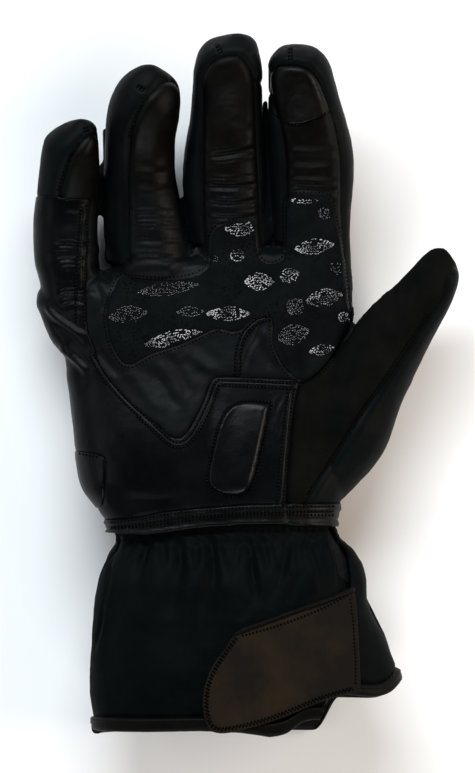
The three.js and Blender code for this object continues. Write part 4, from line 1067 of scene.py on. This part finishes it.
spots, cuff_faces, down = cuff_grid(0.0, 1.0, CUFF_ROWS, CUFF_TURNS)
uneven = 0.3 * wobble(spots, 14.0, 5) + 0.1 * wobble(spots, 4.0, 6)
spots = spots + normals_of(spots, cuff_faces) * uneven[:, None]
spots[:, 2] = np.maximum(spots[:, 2], CUFF_FLOOR)
palm_side = np.minimum(spots[:, 2] - CUFF_SEAM_HEIGHT, -right_of_placket(spots))
back_side = np.maximum(CUFF_SEAM_HEIGHT - 0.01 - spots[:, 2], right_of_placket(spots, PLACKET_WIDTH))
seam = np.where(spots[:, 0] < 0, np.abs(spots[:, 2] - CUFF_SEAM_HEIGHT), 9.0)
cuff_rows = np.column_stack((spots, palm_side, back_side, seam, down))
cuff_rows, cuff_faces = cut(cuff_rows, cuff_faces, 3)
cuff_rows, cuff_faces = cut(cuff_rows, cuff_faces, 4)
spots = cuff_rows[:, :3]
cuff_normals = normals_of(spots, cuff_faces)
sink = sewn(cuff_rows[:, 5], 0.9, 1.0, 0.25)
edge_roll = groove(cuff_rows[:, 3], 0.5, 0.8) + groove(cuff_rows[:, 4], 0.4, 0.8)
on_slit = spots[:, 2] > CUFF_SEAM_HEIGHT + 3
to_binding = (1 - cuff_rows[:, 6]) * CUFF_LENGTH - BINDING
hem_sink = groove(to_binding, 0.7, 1.3)
edge_roll = np.where(on_slit & (spots[:, 0] > 0), edge_roll, 0)
spots = spots + cuff_normals * (sink + hem_sink + edge_roll)[:, None]
spots[:, 2] = np.maximum(spots[:, 2], CUFF_FLOOR)
cuff_normals = normals_of(spots, cuff_faces)
is_palm = cuff_rows[:, 3][cuff_faces].mean(1) > 0
is_back = (cuff_rows[:, 4][cuff_faces].mean(1) > 0) & ~is_palm
for name, chosen in (("cuff_palm", is_palm), ("cuff_back", is_back)):
    panel = part_of(spots, cuff_normals, cuff_faces, chosen, CUFF_WALL)
    shown(name + "_sewn", *panel, cuff_cloth, "cuff_fabric", (name + "_panel",))

# The gusset behind the opening, and the lining inside the cuff.
inner_spots, inner_faces, _ = cuff_grid(0.0, 0.93, 40, 220, grow=-LINING_DEPTH, folded=0.5)
near_slit = np.abs(right_of_placket(inner_spots, PLACKET_WIDTH / 2)) < GUSSET_REACH
near_slit &= inner_spots[:, 2] > CUFF_SEAM_HEIGHT
in_gusset = near_slit[inner_faces].all(1)
gusset = part_of(inner_spots, normals_of(inner_spots, inner_faces), inner_faces, in_gusset, GUSSET_WALL)
shown("gusset_sewn", *gusset, cuff_cloth, "cuff_fabric", ("cuff_gusset",))
lining_spots, lining_faces, _ = cuff_grid(0.0, 0.985, 40, 200, grow=-LINING_DEPTH, folded=0.3)
lining_faces = lining_faces[:, ::-1]
uneven = 0.3 * wobble(lining_spots, 9.0, 8)
lining_spots = lining_spots + normals_of(lining_spots, lining_faces) * uneven[:, None]
shown("cuff_lining", lining_spots, lining_faces, fleece, "cuff_fabric")

# The binding folded over the hem: its section as shares of its width and distances out of the cloth.
around = np.arange(CUFF_TURNS) / CUFF_TURNS * 2 * math.pi
PROFILE = [(-0.1, -0.3), (0, 0.7), (0.1, 1.45), (0.22, 1.6), (0.32, 1.3), (0.6, 1.5), (0.85, 1.4), (1.0, 0.8),
           (1.06, 0.0), (1.06, -1.2), (1.0, -2.0), (0.8, -3.0), (0.3, -3.2), (0.0, -2.9)]
rings = [cuff_surface(np.full(CUFF_TURNS, 1 + (share - 1) * BINDING / CUFF_LENGTH), around, out)
         for share, out in PROFILE]
hem_points = np.array(rings).reshape(-1, 3)
index = np.arange(len(hem_points)).reshape(len(PROFILE), CUFF_TURNS)
after = np.roll(index, -1, axis=1)
hem_faces = triangles_of(after, np.roll(after, -1, axis=0), np.roll(index, -1, axis=0), index)
in_slit = (right_of_placket(hem_points) > 0) & (right_of_placket(hem_points, PLACKET_WIDTH) < 0)
in_slit &= hem_points[:, 2] > CUFF_SEAM_HEIGHT
hem_faces = hem_faces[~in_slit[hem_faces].any(1)]
hem_points[:, 2] = np.maximum(hem_points[:, 2], 0.05)
shown("hem_binding_sewn", hem_points, hem_faces, binding_cloth, "binding", ("hem_binding",))


DOWN = Vector((0, 0, -1))


def dropped(tree, flat_points, start=150.0):
    """Points and normals where straight lines down meet a surface. A miss gives a row of nan."""
    places = np.full((len(flat_points), 3), np.nan)
    facing = np.zeros((len(flat_points), 3))
    facing[:, 2] = 1
    for i, (x, y) in enumerate(flat_points.tolist()):
        place, normal, _, _ = tree.ray_cast(Vector((x, y, start)), DOWN)
        if place is not None:
            places[i] = place
            facing[i] = normal if normal.z > 0 else -normal
    return places, facing


def slab(outline, tree, thickness, lift, edge, spacing=1.0, corners=2):
    """A flat piece with rounded edges over an outline, lying on a surface. Gives its surface, its faces and
    how far each point lies inside the outline."""
    line = rounded(plan(outline), closed=True, rounds=corners)
    low, high = line.min(0) - spacing * 2, line.max(0) + spacing * 2
    xs = np.arange(low[0], high[0], spacing)
    ys = np.arange(low[1], high[1], spacing)
    gx, gy = np.meshgrid(xs, ys)
    flat_grid = np.stack((gx.ravel(), gy.ravel()), 1)
    index = np.arange(gx.size).reshape(gx.shape)
    tiles = triangles_of(index[:-1, :-1], index[:-1, 1:], index[1:, 1:], index[1:, :-1])
    distance, _, _ = nearest(flat_grid, line, closed=True, reach=60)
    within = np.where(inside(flat_grid, line), distance, -distance)
    near = within > -2.5 * spacing
    used, tiles = used_only(tiles[near[tiles].all(1)])
    flat_grid, within = flat_grid[used], within[used]
    table = np.column_stack((flat_grid, np.zeros(len(used)), within))
    for level in (0, edge * 0.3, edge):
        table[:, 3] -= level
        table, tiles = cut(table, tiles, 3, 0.1)
        table[:, 3] += level
    used, tiles = used_only(tiles[(table[:, 3][tiles] > -1e-6).all(1)])
    table = table[used]
    places, facing = dropped(tree, table[:, :2])
    missed = np.isnan(places[:, 0])
    known = np.where(~missed)[0]
    for i in np.where(missed)[0]:
        j = known[np.argmin(np.sum((table[known, :2] - table[i, :2]) ** 2, axis=1))]
        places[i] = (*table[i, :2], places[j, 2])
        facing[i] = facing[j]
    facing = unit(smoothed(facing, tiles, 3))
    places[:, 2] = smoothed(places, tiles, 2)[:, 2]
    within = np.maximum(table[:, 3], 0)
    profile = np.sqrt(1 - (1 - np.clip(within / edge, 0, 1)) ** 2)
    bottom = places + facing * lift
    top = bottom + facing * (thickness * profile)[:, None]
    return top, bottom, tiles, within, facing


def closed_slab(top, bottom, tiles, within):
    count = len(top)
    under = np.where(within < 1e-6, np.arange(count), np.arange(count) + count)
    return np.vstack((top, bottom)), np.vstack((tiles, under[tiles[:, ::-1]]))


# The strap and its binding. It lies on the cuff, beside the opening, and closes it.
form_tree = tree_of(*cuff_grid(0.0, 1.12, 70, 300, grow=0.6, folded=0.7)[:2])
STRAP = [(235, 628), (262, 619), (301, 605), (323, 598), (351, 587), (351, 587), (354, 600), (357, 640),
         (359, 690), (359, 690), (339, 692), (323, 697), (292, 710), (262, 721), (230, 729), (214, 729),
         (206, 722), (203, 706), (203, 690), (208, 672), (215, 658), (226, 645)]
STRAP_TOP = [(230, 630), (237, 627), (262, 618), (301, 604), (323, 597), (354, 585)]
TRIM_WIDTH = 2.0
top, bottom, tiles, within, facing = slab(STRAP, form_tree, thickness=2.0, lift=0.1, edge=1.1)
edge_distance, _, _ = nearest(top[:, :2], rounded(plan(STRAP_TOP), rounds=2), reach=60)
relief = 0.3 * wobble(top, 16.0, 11) + 0.12 * wobble(top, 5.0, 12)
relief += groove(within - 2.0, 0.45, 0.6) + 0.25 * bell(within - 3.4, 1.2)
top = top + facing * (relief * np.clip(within, 0, 1))[:, None]
binding_in = TRIM_WIDTH - edge_distance
table = np.column_stack((top, bottom, within, binding_in))
table, tiles = cut(table, tiles, 7)
top, bottom, within = table[:, :3], table[:, 3:6], np.maximum(table[:, 6], 0)
bound = table[:, 7][tiles].mean(1) > 0
strap_points, strap_faces = closed_slab(top, bottom, tiles, within)
shown("strap_sewn", strap_points, strap_faces, nubuck, "nubuck", ("wrist_strap",))
strap_tree = tree_of(strap_points, strap_faces)
used, trim = used_only(tiles[bound])
trim_top = top[used].copy()
trim_normals = normals_of(trim_top, trim)
across = np.clip(table[used, 7], 0, TRIM_WIDTH) / TRIM_WIDTH
trim_top += trim_normals * (0.15 + 0.55 * np.sqrt(np.clip(1 - (2 * across - 1) ** 2, 0, 1)))[:, None]
shown("strap_binding", *part_of(trim_top, trim_normals, trim, np.ones(len(trim), bool), 0.5), strap_trim,
      "binding")

# The heel pad: a foam D under the leather, blown up a little by a cloth simulation.
HEEL_PAD = [(245, 402), (258, 402), (270, 404), (270, 404), (268, 416), (264, 434), (256, 471), (250, 488),
            (243, 494), (232, 495), (219, 492), (210, 485), (208, 478), (211, 462), (216, 439), (221, 421),
            (228, 410), (236, 404)]
PAD_SPACING = 1.2
PAD_CAP = 0.9  # the furthest that the simulation may move a point
PAD_HELD = 1.0
PAD_FRAMES = 16
PAD_RIDGE = [(266, 408), (261, 430), (254, 462), (248, 484)]
PAD_THICKNESS = 2.2
top, bottom, tiles, within, facing = slab(HEEL_PAD, hand_tree, PAD_THICKNESS, lift=0.05, edge=3.4,
                                         spacing=PAD_SPACING)
to_ridge, _, _ = nearest(top[:, :2], rounded(plan(PAD_RIDGE), rounds=2), reach=60)
# The foam is thin on the left and thick along a crest beside its right edge.
ridge = 0.5 * bell(to_ridge, 2.6) - (PAD_THICKNESS - 0.6) * ramp(to_ridge, 3.0, 15.0)
top = top + facing * (ridge * np.sqrt(ramp(within, 0, 3.0)))[:, None]
pad_points, pad_faces = closed_slab(top, bottom, tiles, within)
pad_used, pad_faces = used_only(pad_faces)
pad_points = pad_points[pad_used]
pad = shown("heel_pad_foam", pad_points, pad_faces, pad_leather, "leather", ("heel_pad",))
held = pad.vertex_groups.new(name="held")
depth_in = np.concatenate((within, np.zeros(len(within))))[pad_used]
for index, value in enumerate(depth_in.tolist()):
    if value < PAD_HELD:
        held.add([index], 1.0, "REPLACE")
start_points = pad_points.copy()
cloth = pad.modifiers.new("blown", "CLOTH")
cloth.settings.use_pressure = True
cloth.settings.uniform_pressure_force = 2.5
cloth.settings.vertex_group_mass = "held"
cloth.settings.quality = 6
cloth.settings.tension_stiffness = 12
cloth.settings.effector_weights.gravity = 0
cloth.point_cache.frame_start = 1
cloth.point_cache.frame_end = PAD_FRAMES
for step in range(1, PAD_FRAMES + 1):
    scene.frame_set(step)
graph = bpy.context.evaluated_depsgraph_get()
blown = pad.evaluated_get(graph).to_mesh()
moved = np.empty(len(blown.vertices) * 3)
blown.vertices.foreach_get("co", moved)
moved = moved.reshape(-1, 3) / METRE
pad.evaluated_get(graph).to_mesh_clear()
pad.modifiers.remove(cloth)
scene.frame_set(1)
shift = moved - start_points
size = np.linalg.norm(shift, axis=1)[:, None]
shift *= np.minimum(1, PAD_CAP / np.maximum(size, 1e-6))
final = start_points + shift
pad.data.vertices.foreach_set("co", (final * METRE).ravel())
pad.data.update()
round_pad = pad.modifiers.new("round", "SUBSURF")
round_pad.levels = 1
round_pad.render_levels = 1


# Stitches: short capsules of thread along lines on the plan, laid on the surface below.
def capsules(places, towards, facing, length, width, height, sides=6):
    """Many small rounded bars in one mesh, each with its middle, direction and normal."""
    spans = [(-0.5, 0.0), (-0.36, 0.8), (0.0, 1.0), (0.36, 0.8), (0.5, 0.0)]
    towards = unit(towards)
    side = unit(np.cross(facing, towards))
    up = np.cross(towards, side)
    turn = np.arange(sides) / sides * 2 * math.pi
    shape = [(spans[0][0], 0, 0)]
    for along, size in spans[1:-1]:
        shape += [(along, size * math.cos(t) / 2, size * math.sin(t)) for t in turn]
    shape.append((spans[-1][0], 0, 0))
    shape = np.array(shape)
    length = np.broadcast_to(np.asarray(length, float), (len(places),))
    points = (places[:, None]
              + towards[:, None] * (shape[:, 0][None, :, None] * length[:, None, None])
              + side[:, None] * (shape[:, 1] * width)[None, :, None]
              + up[:, None] * (shape[:, 2] * height)[None, :, None])
    faces = []
    for k in range(sides):
        n = (k + 1) % sides
        faces.append((0, 1 + n, 1 + k))
        for r in range(2):
            a, b = 1 + r * sides + k, 1 + r * sides + n
            faces += [(a, b, b + sides), (a, b + sides, a + sides)]
        last = 1 + 3 * sides
        faces.append((last, 1 + 2 * sides + k, 1 + 2 * sides + n))
    faces = np.array(faces)
    total = len(shape)
    all_faces = (faces[None] + (np.arange(len(places)) * total)[:, None, None]).reshape(-1, 3)
    return points.reshape(-1, 3), all_faces


def walk(line, pitch, start=0.0):
    """Evenly spaced points and directions along a line."""
    steps = np.diff(line, axis=0)
    lengths = np.linalg.norm(steps, axis=1)
    total = np.concatenate(([0], np.cumsum(lengths)))
    at = np.arange(start + pitch / 2, total[-1], pitch)
    x = np.interp(at, total, line[:, 0])
    y = np.interp(at, total, line[:, 1])
    which = np.clip(np.searchsorted(total, at) - 1, 0, len(steps) - 1)
    return np.stack((x, y), 1), steps[which] / np.maximum(lengths[which], 1e-9)[:, None]


def offset(line, distance):
    """A line moved sideways, to the left of its direction."""
    ahead = unit(np.gradient(line, axis=0))
    return line + np.stack((-ahead[:, 1], ahead[:, 0]), 1) * distance


# Stitches and the small swellings of leather between them: length, width and height.
PITCH = 1.5
STITCH = (0.84, 1.15, 0.42)
PILLOW = (0.62, 1.25, 0.4)
GRIP_PITCH = 1.6
GRIP_STITCH = (1.0, 0.62, 0.28)


def sew(lines, tree, pitch=PITCH, stitch=STITCH, closed=False, start=0.0):
    """Stitches along several lines, given as points of the plan with an offset in millimetres."""
    parts = []
    for line, shifts in lines:
        path = rounded(plan(line), closed=closed, rounds=3)
        if closed:
            path = np.vstack((path, path[:1]))
        for shift in shifts:
            places, facing, ahead = laid(tree, *walk(offset(path, shift) if shift else path, pitch, start))
            parts.append(capsules(places + facing * 0.02, sloped(ahead, facing), facing, *stitch))
    return merged(parts)


def laid(tree, spots, ahead, steepest=0.2):
    """Points of the plan laid on a surface, with normals and the directions given for them."""
    places, facing = dropped(tree, spots)
    good = ~np.isnan(places[:, 0]) & (facing[:, 2] > steepest)
    return places[good], facing[good], ahead[good]


def sloped(ahead, facing):
    """Directions on the plan, tilted so that they run along the surface."""
    return np.column_stack((ahead, -(facing[:, 0] * ahead[:, 0] + facing[:, 1] * ahead[:, 1]) / facing[:, 2]))


def welt(lines, tree, spacing=0.8):
    """Low rounded ridges of leather along lines of the plan. Each has an offset, a width and a height."""
    parts = []
    turns = np.linspace(0, math.pi, 7)
    profile = [(math.cos(t), math.sin(t)) for t in turns] + [(-0.9, -0.5), (0.9, -0.5)]
    for line, (shift, width, height) in lines:
        path = rounded(plan(line), rounds=3)
        places, facing, ahead = laid(tree, *walk(offset(path, shift) if shift else path, spacing))
        side = np.column_stack((-ahead[:, 1], ahead[:, 0], np.zeros(len(ahead))))
        side = unit(side - facing * np.sum(side * facing, axis=1)[:, None])
        taper = np.minimum(1, np.minimum(np.arange(len(places)), np.arange(len(places))[::-1]) / 4 + 0.05)
        rings = []
        for x, y in profile:
            sideways = side * (x * width / 2 * taper)[:, None]
            rings.append(places + sideways + facing * (y * height * taper - 0.06)[:, None])
        parts.append(loft(np.stack(rings, 1)))
    return merged(parts)


SIDE_SEAM = [(81.5, 206), (80, 230), (78, 250), (76, 276), (75.5, 306), (76, 322)]
SIDE_EDGE_SEAM = [(87, 205), (88.5, 245), (85.5, 265), (84.5, 285), (84.5, 326)]
V_SEAM = [(96, 352), (104, 366), (112, 378), (131, 399), (148, 414), (163, 427)]
PATCH_SEAM = [(140, 412), (163, 432), (172, 441), (180, 443), (189, 438), (198, 423), (207, 405), (213, 388),
              (216, 381), (222, 380)]
TOP_SEAM = [(217, 380.5), (260, 382), (297, 384)]
RIGHT_SEAM = [(294, 389), (291, 408), (288, 440), (285, 474), (282.5, 506)]
CENTRE_SEAM = [(240, 376), (240, 352), (246, 336), (256, 325), (266, 321), (271, 320)]
BAND_SEAM = [(110, 523), (128, 521.5), (145, 518.5), (164, 514.5), (193, 511.5), (242, 508), (284, 507),
             (334, 507)]
HAND_STITCHES = [(SIDE_SEAM, (0,)), (SIDE_EDGE_SEAM, (0,)), (V_SEAM, (-1.4, -3.2)), (PATCH_SEAM, (0, -2.2)),
                 (TOP_SEAM, (0.2, -2.2)), (RIGHT_SEAM, (0, -2.5)), (CENTRE_SEAM, (0, 2.0)),
                 (BAND_SEAM, (0.4, -1.7)), ([(56, 201), (72, 204), (86, 204)], (0,)),
                 ([(110, 528), (145, 526), (193, 519), (242, 514.5), (290, 514), (334, 515)], (0,)),
                 ([(104, 460), (105, 474), (103, 490)], (0,)), ([(78, 453), (100, 457.5)], (0,)),
                 ([(279, 124), (289, 127), (301, 127), (312, 123), (329, 113)], (0,)),
                 ([(137, 88), (147, 95)], (-0.6, 0.6)), ([(217, 48), (222, 58)], (-0.6, 0.6)),
                 ([(290, 50), (290, 66)], (-0.6, 0.6)), ([(86, 128), (91, 138)], (-0.6, 0.6)),
                 ([(61, 193), (65, 179), (72, 160), (82, 146)], (0.9,)),
                 ([(131, 140), (136, 124), (142, 112), (149, 99)], (0.9,)),
                 ([(308, 496), (335, 455), (361, 413), (384, 381), (409, 344), (428, 315)], (0.9,))]
shown("hand_stitches", *sew(HAND_STITCHES, hand_tree), thread, "binding")
shown("grip_stitches", *sew([(GRIP_AREA, (1.4,))], hand_tree, GRIP_PITCH, GRIP_STITCH, closed=True), thread,
      "binding")
HAND_WELTS = [(SIDE_SEAM, (1.7, 1.8, 0.3)), (V_SEAM, (-2.3, 1.3, 0.3)), (PATCH_SEAM, (-1.1, 1.5, 0.35)),
              (TOP_SEAM, (-1.0, 1.6, 0.4)), (RIGHT_SEAM, (-1.15, 1.5, 0.35)), (CENTRE_SEAM, (1.0, 1.5, 0.35))]
shown("seam_welts", *welt(HAND_WELTS, hand_tree), heel_leather, "leather")
DOUBLE_SEAMS = HAND_STITCHES[:8]
shown("seam_pillows", *sew(DOUBLE_SEAMS, hand_tree, stitch=PILLOW, start=PITCH / 2), heel_leather, "leather")
PAD_STITCHES = [(HEEL_PAD, (0.55,))]
pad_pillows = sew(PAD_STITCHES, hand_tree, stitch=PILLOW, closed=True, start=PITCH / 2)
shown("pad_stitches", *sew(PAD_STITCHES, hand_tree, closed=True), thread, "binding")
shown("pad_pillows", *pad_pillows, heel_leather, "leather")
STRAP_STITCHES = [
    ([(241, 633), (275, 624), (316, 609), (349, 593)], (0,)),
    ([(238, 635), (229, 647), (220, 660), (212, 674), (208, 690), (208, 706), (211, 719), (218, 724),
      (230, 723), (262, 715.5), (292, 704.5), (323, 691), (352, 684)], (0, -0.9)),
    ([(349, 596), (352, 620), (354, 658), (354, 682)], (0,)),
]
shown("strap_stitches", *sew(STRAP_STITCHES, strap_tree), thread, "binding")

# Grip beads: lens-shaped clusters of short silicone dashes. Centre, width, height on the plan, and turn.
CLUSTERS = [((240, 228), 33, 17, 0), ((237, 256), 16, 12, 0), ((214, 259), 7, 9, 80), ((259, 282), 30, 18, 0),
            ((289, 276), 20, 15, 25), ((304, 201), 28, 6, 0), ((324, 214), 12, 13, 60),
            ((314, 247), 40, 15, 8), ((337, 269), 12, 16, 60), ((168, 289), 62, 13, 8),
            ((128, 315), 40, 17, 8), ((190, 312), 28, 9, 0), ((228, 314), 44, 14, 0),
            ((174, 339), 60, 16, 12), ((295, 307), 19, 18, 50), ((324, 298), 38, 17, 12),
            ((344, 318), 12, 12, 50), ((293, 335), 34, 20, 15), ((321, 350), 26, 10, 10)]
# Clusters listed here get the darker silicone, without painted glints; the others get the silicone whose
# light colour paints glints on the print.
CLUSTERS_WITHOUT_PAINTED_GLINT = (2, 6, 8, 9, 10, 11, 14, 17)
chance = np.random.default_rng(7)
LINE_GAP = 0.95
BEAD_WIDTH = 0.46
BEAD_HEIGHT = 0.28
BEAD_INSET = 0.9


def cluster(centre, width, height, turn_degrees):
    """Rows of short dashes inside a lens, with scribbles across its middle."""
    middle = plan([centre])[0]
    half_w, half_h = width * GRID / 2, height * GRID / 2
    lines = max(3, int(round(half_h * 2 / LINE_GAP)))
    turned = math.radians(turn_degrees)
    axis = np.array([math.cos(turned), math.sin(turned)])
    side_axis = np.array([-axis[1], axis[0]])
    found = []
    for level in np.linspace(-0.95, 0.95, lines):
        x = -half_w + chance.uniform(0, 0.6)
        while x < half_w:
            length = chance.uniform(0.5, 1.7)
            share = (x + length / 2) / half_w
            bow = 1 - min(share ** 2, 1)
            if chance.random() < 0.8 and bow > 0.06:
                y = level * half_h * bow + chance.uniform(-0.25, 0.25)
                slope = -2 * level * half_h * share / half_w
                bend = chance.uniform(-1.2, 1.2) if abs(level) < 0.7 else chance.uniform(-0.15, 0.15)
                direction = axis * (1 - 0.35 * abs(bend)) + side_axis * (slope + bend)
                found.append((*(middle + axis * (x + length / 2) + side_axis * y), *direction, length * 0.92))
            x += length * 0.8 + chance.uniform(0.1, 0.35)
    return found


# Each set of clusters gets its silicone: painted glints on the first set, none on the second.
for name, without_glint, material in (("grip_beads", False, silicone_with_painted_glint), ("grip_beads_worn", True, silicone_without_painted_glint)):
    chosen = [values for i, values in enumerate(CLUSTERS) if (i in CLUSTERS_WITHOUT_PAINTED_GLINT) == without_glint]
    table = np.array([row for values in chosen for row in cluster(*values)])
    table = table[area_field(table[:, :2], GRIP_AREA) > BEAD_INSET]
    places, facing, table = laid(hand_tree, table[:, :2], table, 0.25)
    beads = capsules(places, sloped(table[:, 2:4], facing), facing, table[:, 4], BEAD_WIDTH, BEAD_HEIGHT)
    shown(name, *beads, material, "suede")

# The lining inside the hand, from the wrist to just short of the fingers.
LINING_VOXEL = 3.0
LINING_TOP = 30.0
lining_points, lining_faces = remeshed(*heap, LINING_VOXEL)
lining_points = smoothed(lining_points, lining_faces, rounds=4)
lining_points = lining_points - normals_of(lining_points, lining_faces) * LINING_DEPTH
lining_y = lining_points[:, 1][lining_faces]
lining_faces = lining_faces[((lining_y > WRIST_Y + 1.0) & (lining_y < LINING_TOP)).all(1)]
shown("hand_lining", lining_points, lining_faces[:, ::-1], fleece, "softshell")

# Stage, light and camera.
CAMERA_HEIGHT = 2.5
VIEW_HEIGHT = 324.7 * METRE
FILM = 24.0
GLOVE_MIDDLE = 0.028
camera_data = bpy.data.cameras.new("camera")
camera_data.sensor_fit = "VERTICAL"
camera_data.sensor_height = FILM
camera_data.lens = FILM * (CAMERA_HEIGHT - GLOVE_MIDDLE) / VIEW_HEIGHT
camera = bpy.data.objects.new("camera", camera_data)
camera.location = (-0.0038, 0.0002, CAMERA_HEIGHT)
scene.collection.objects.link(camera)
scene.camera = camera

floor_mesh = bpy.data.meshes.new("floor")
half = 3.0
floor_corners = [(-half, -half, 0), (half, -half, 0), (half, half, 0), (-half, half, 0)]
floor_mesh.from_pydata(floor_corners, [], [(0, 1, 2, 3)])
floor = bpy.data.objects.new("floor", floor_mesh)
scene.collection.objects.link(floor)
floor_material, floor_tree, floor_shader, floor_spot = node_material("floor_paper")
paper = noise_node(floor_tree, floor_spot, 6.0, 3.0)
floor_tree.links.new(ramp_node(floor_tree, paper, [(0.3, grey(0.9)), (0.7, grey(0.93))]),
                     floor_shader.inputs["Base Color"])
floor_shader.inputs["Roughness"].default_value = 0.9
floor_mesh.materials.append(floor_material)

world = bpy.data.worlds.new("studio")
scene.world = world
scene.view_settings.view_transform = "Standard"
world.use_nodes = True
world.node_tree.nodes["Background"].inputs["Color"].default_value = (0.93, 0.96, 1.0, 1)
world.node_tree.nodes["Background"].inputs["Strength"].default_value = 0.05

# Each light: name, place, length, width, power and colour. It is turned towards the glove.
LIGHTS = [("key", (-0.25, 1.25, 1.15), 1.7, 0.45, 37, (0.88, 0.95, 1.0)),
          ("left", (-1.45, 0.0, 0.85), 1.2, 0.35, 5, (0.9, 0.96, 1.0)),
          ("right", (1.4, 0.1, 0.8), 1.2, 0.4, 19, (1.0, 0.84, 0.7)),
          ("low", (0.0, -1.4, 0.85), 1.4, 0.35, 15, (0.96, 0.98, 1.0))]
for name, place, length, width, power, colour in LIGHTS:
    light = bpy.data.lights.new(name, "AREA")
    light.shape = "RECTANGLE"
    light.size = length
    light.size_y = width
    light.energy = power
    light.color = colour
    lamp = bpy.data.objects.new(name, light)
    lamp.location = place
    lamp.rotation_euler = (Vector((0, 0, 0)) - Vector(place)).to_track_quat("-Z", "Y").to_euler()
    scene.collection.objects.link(lamp)
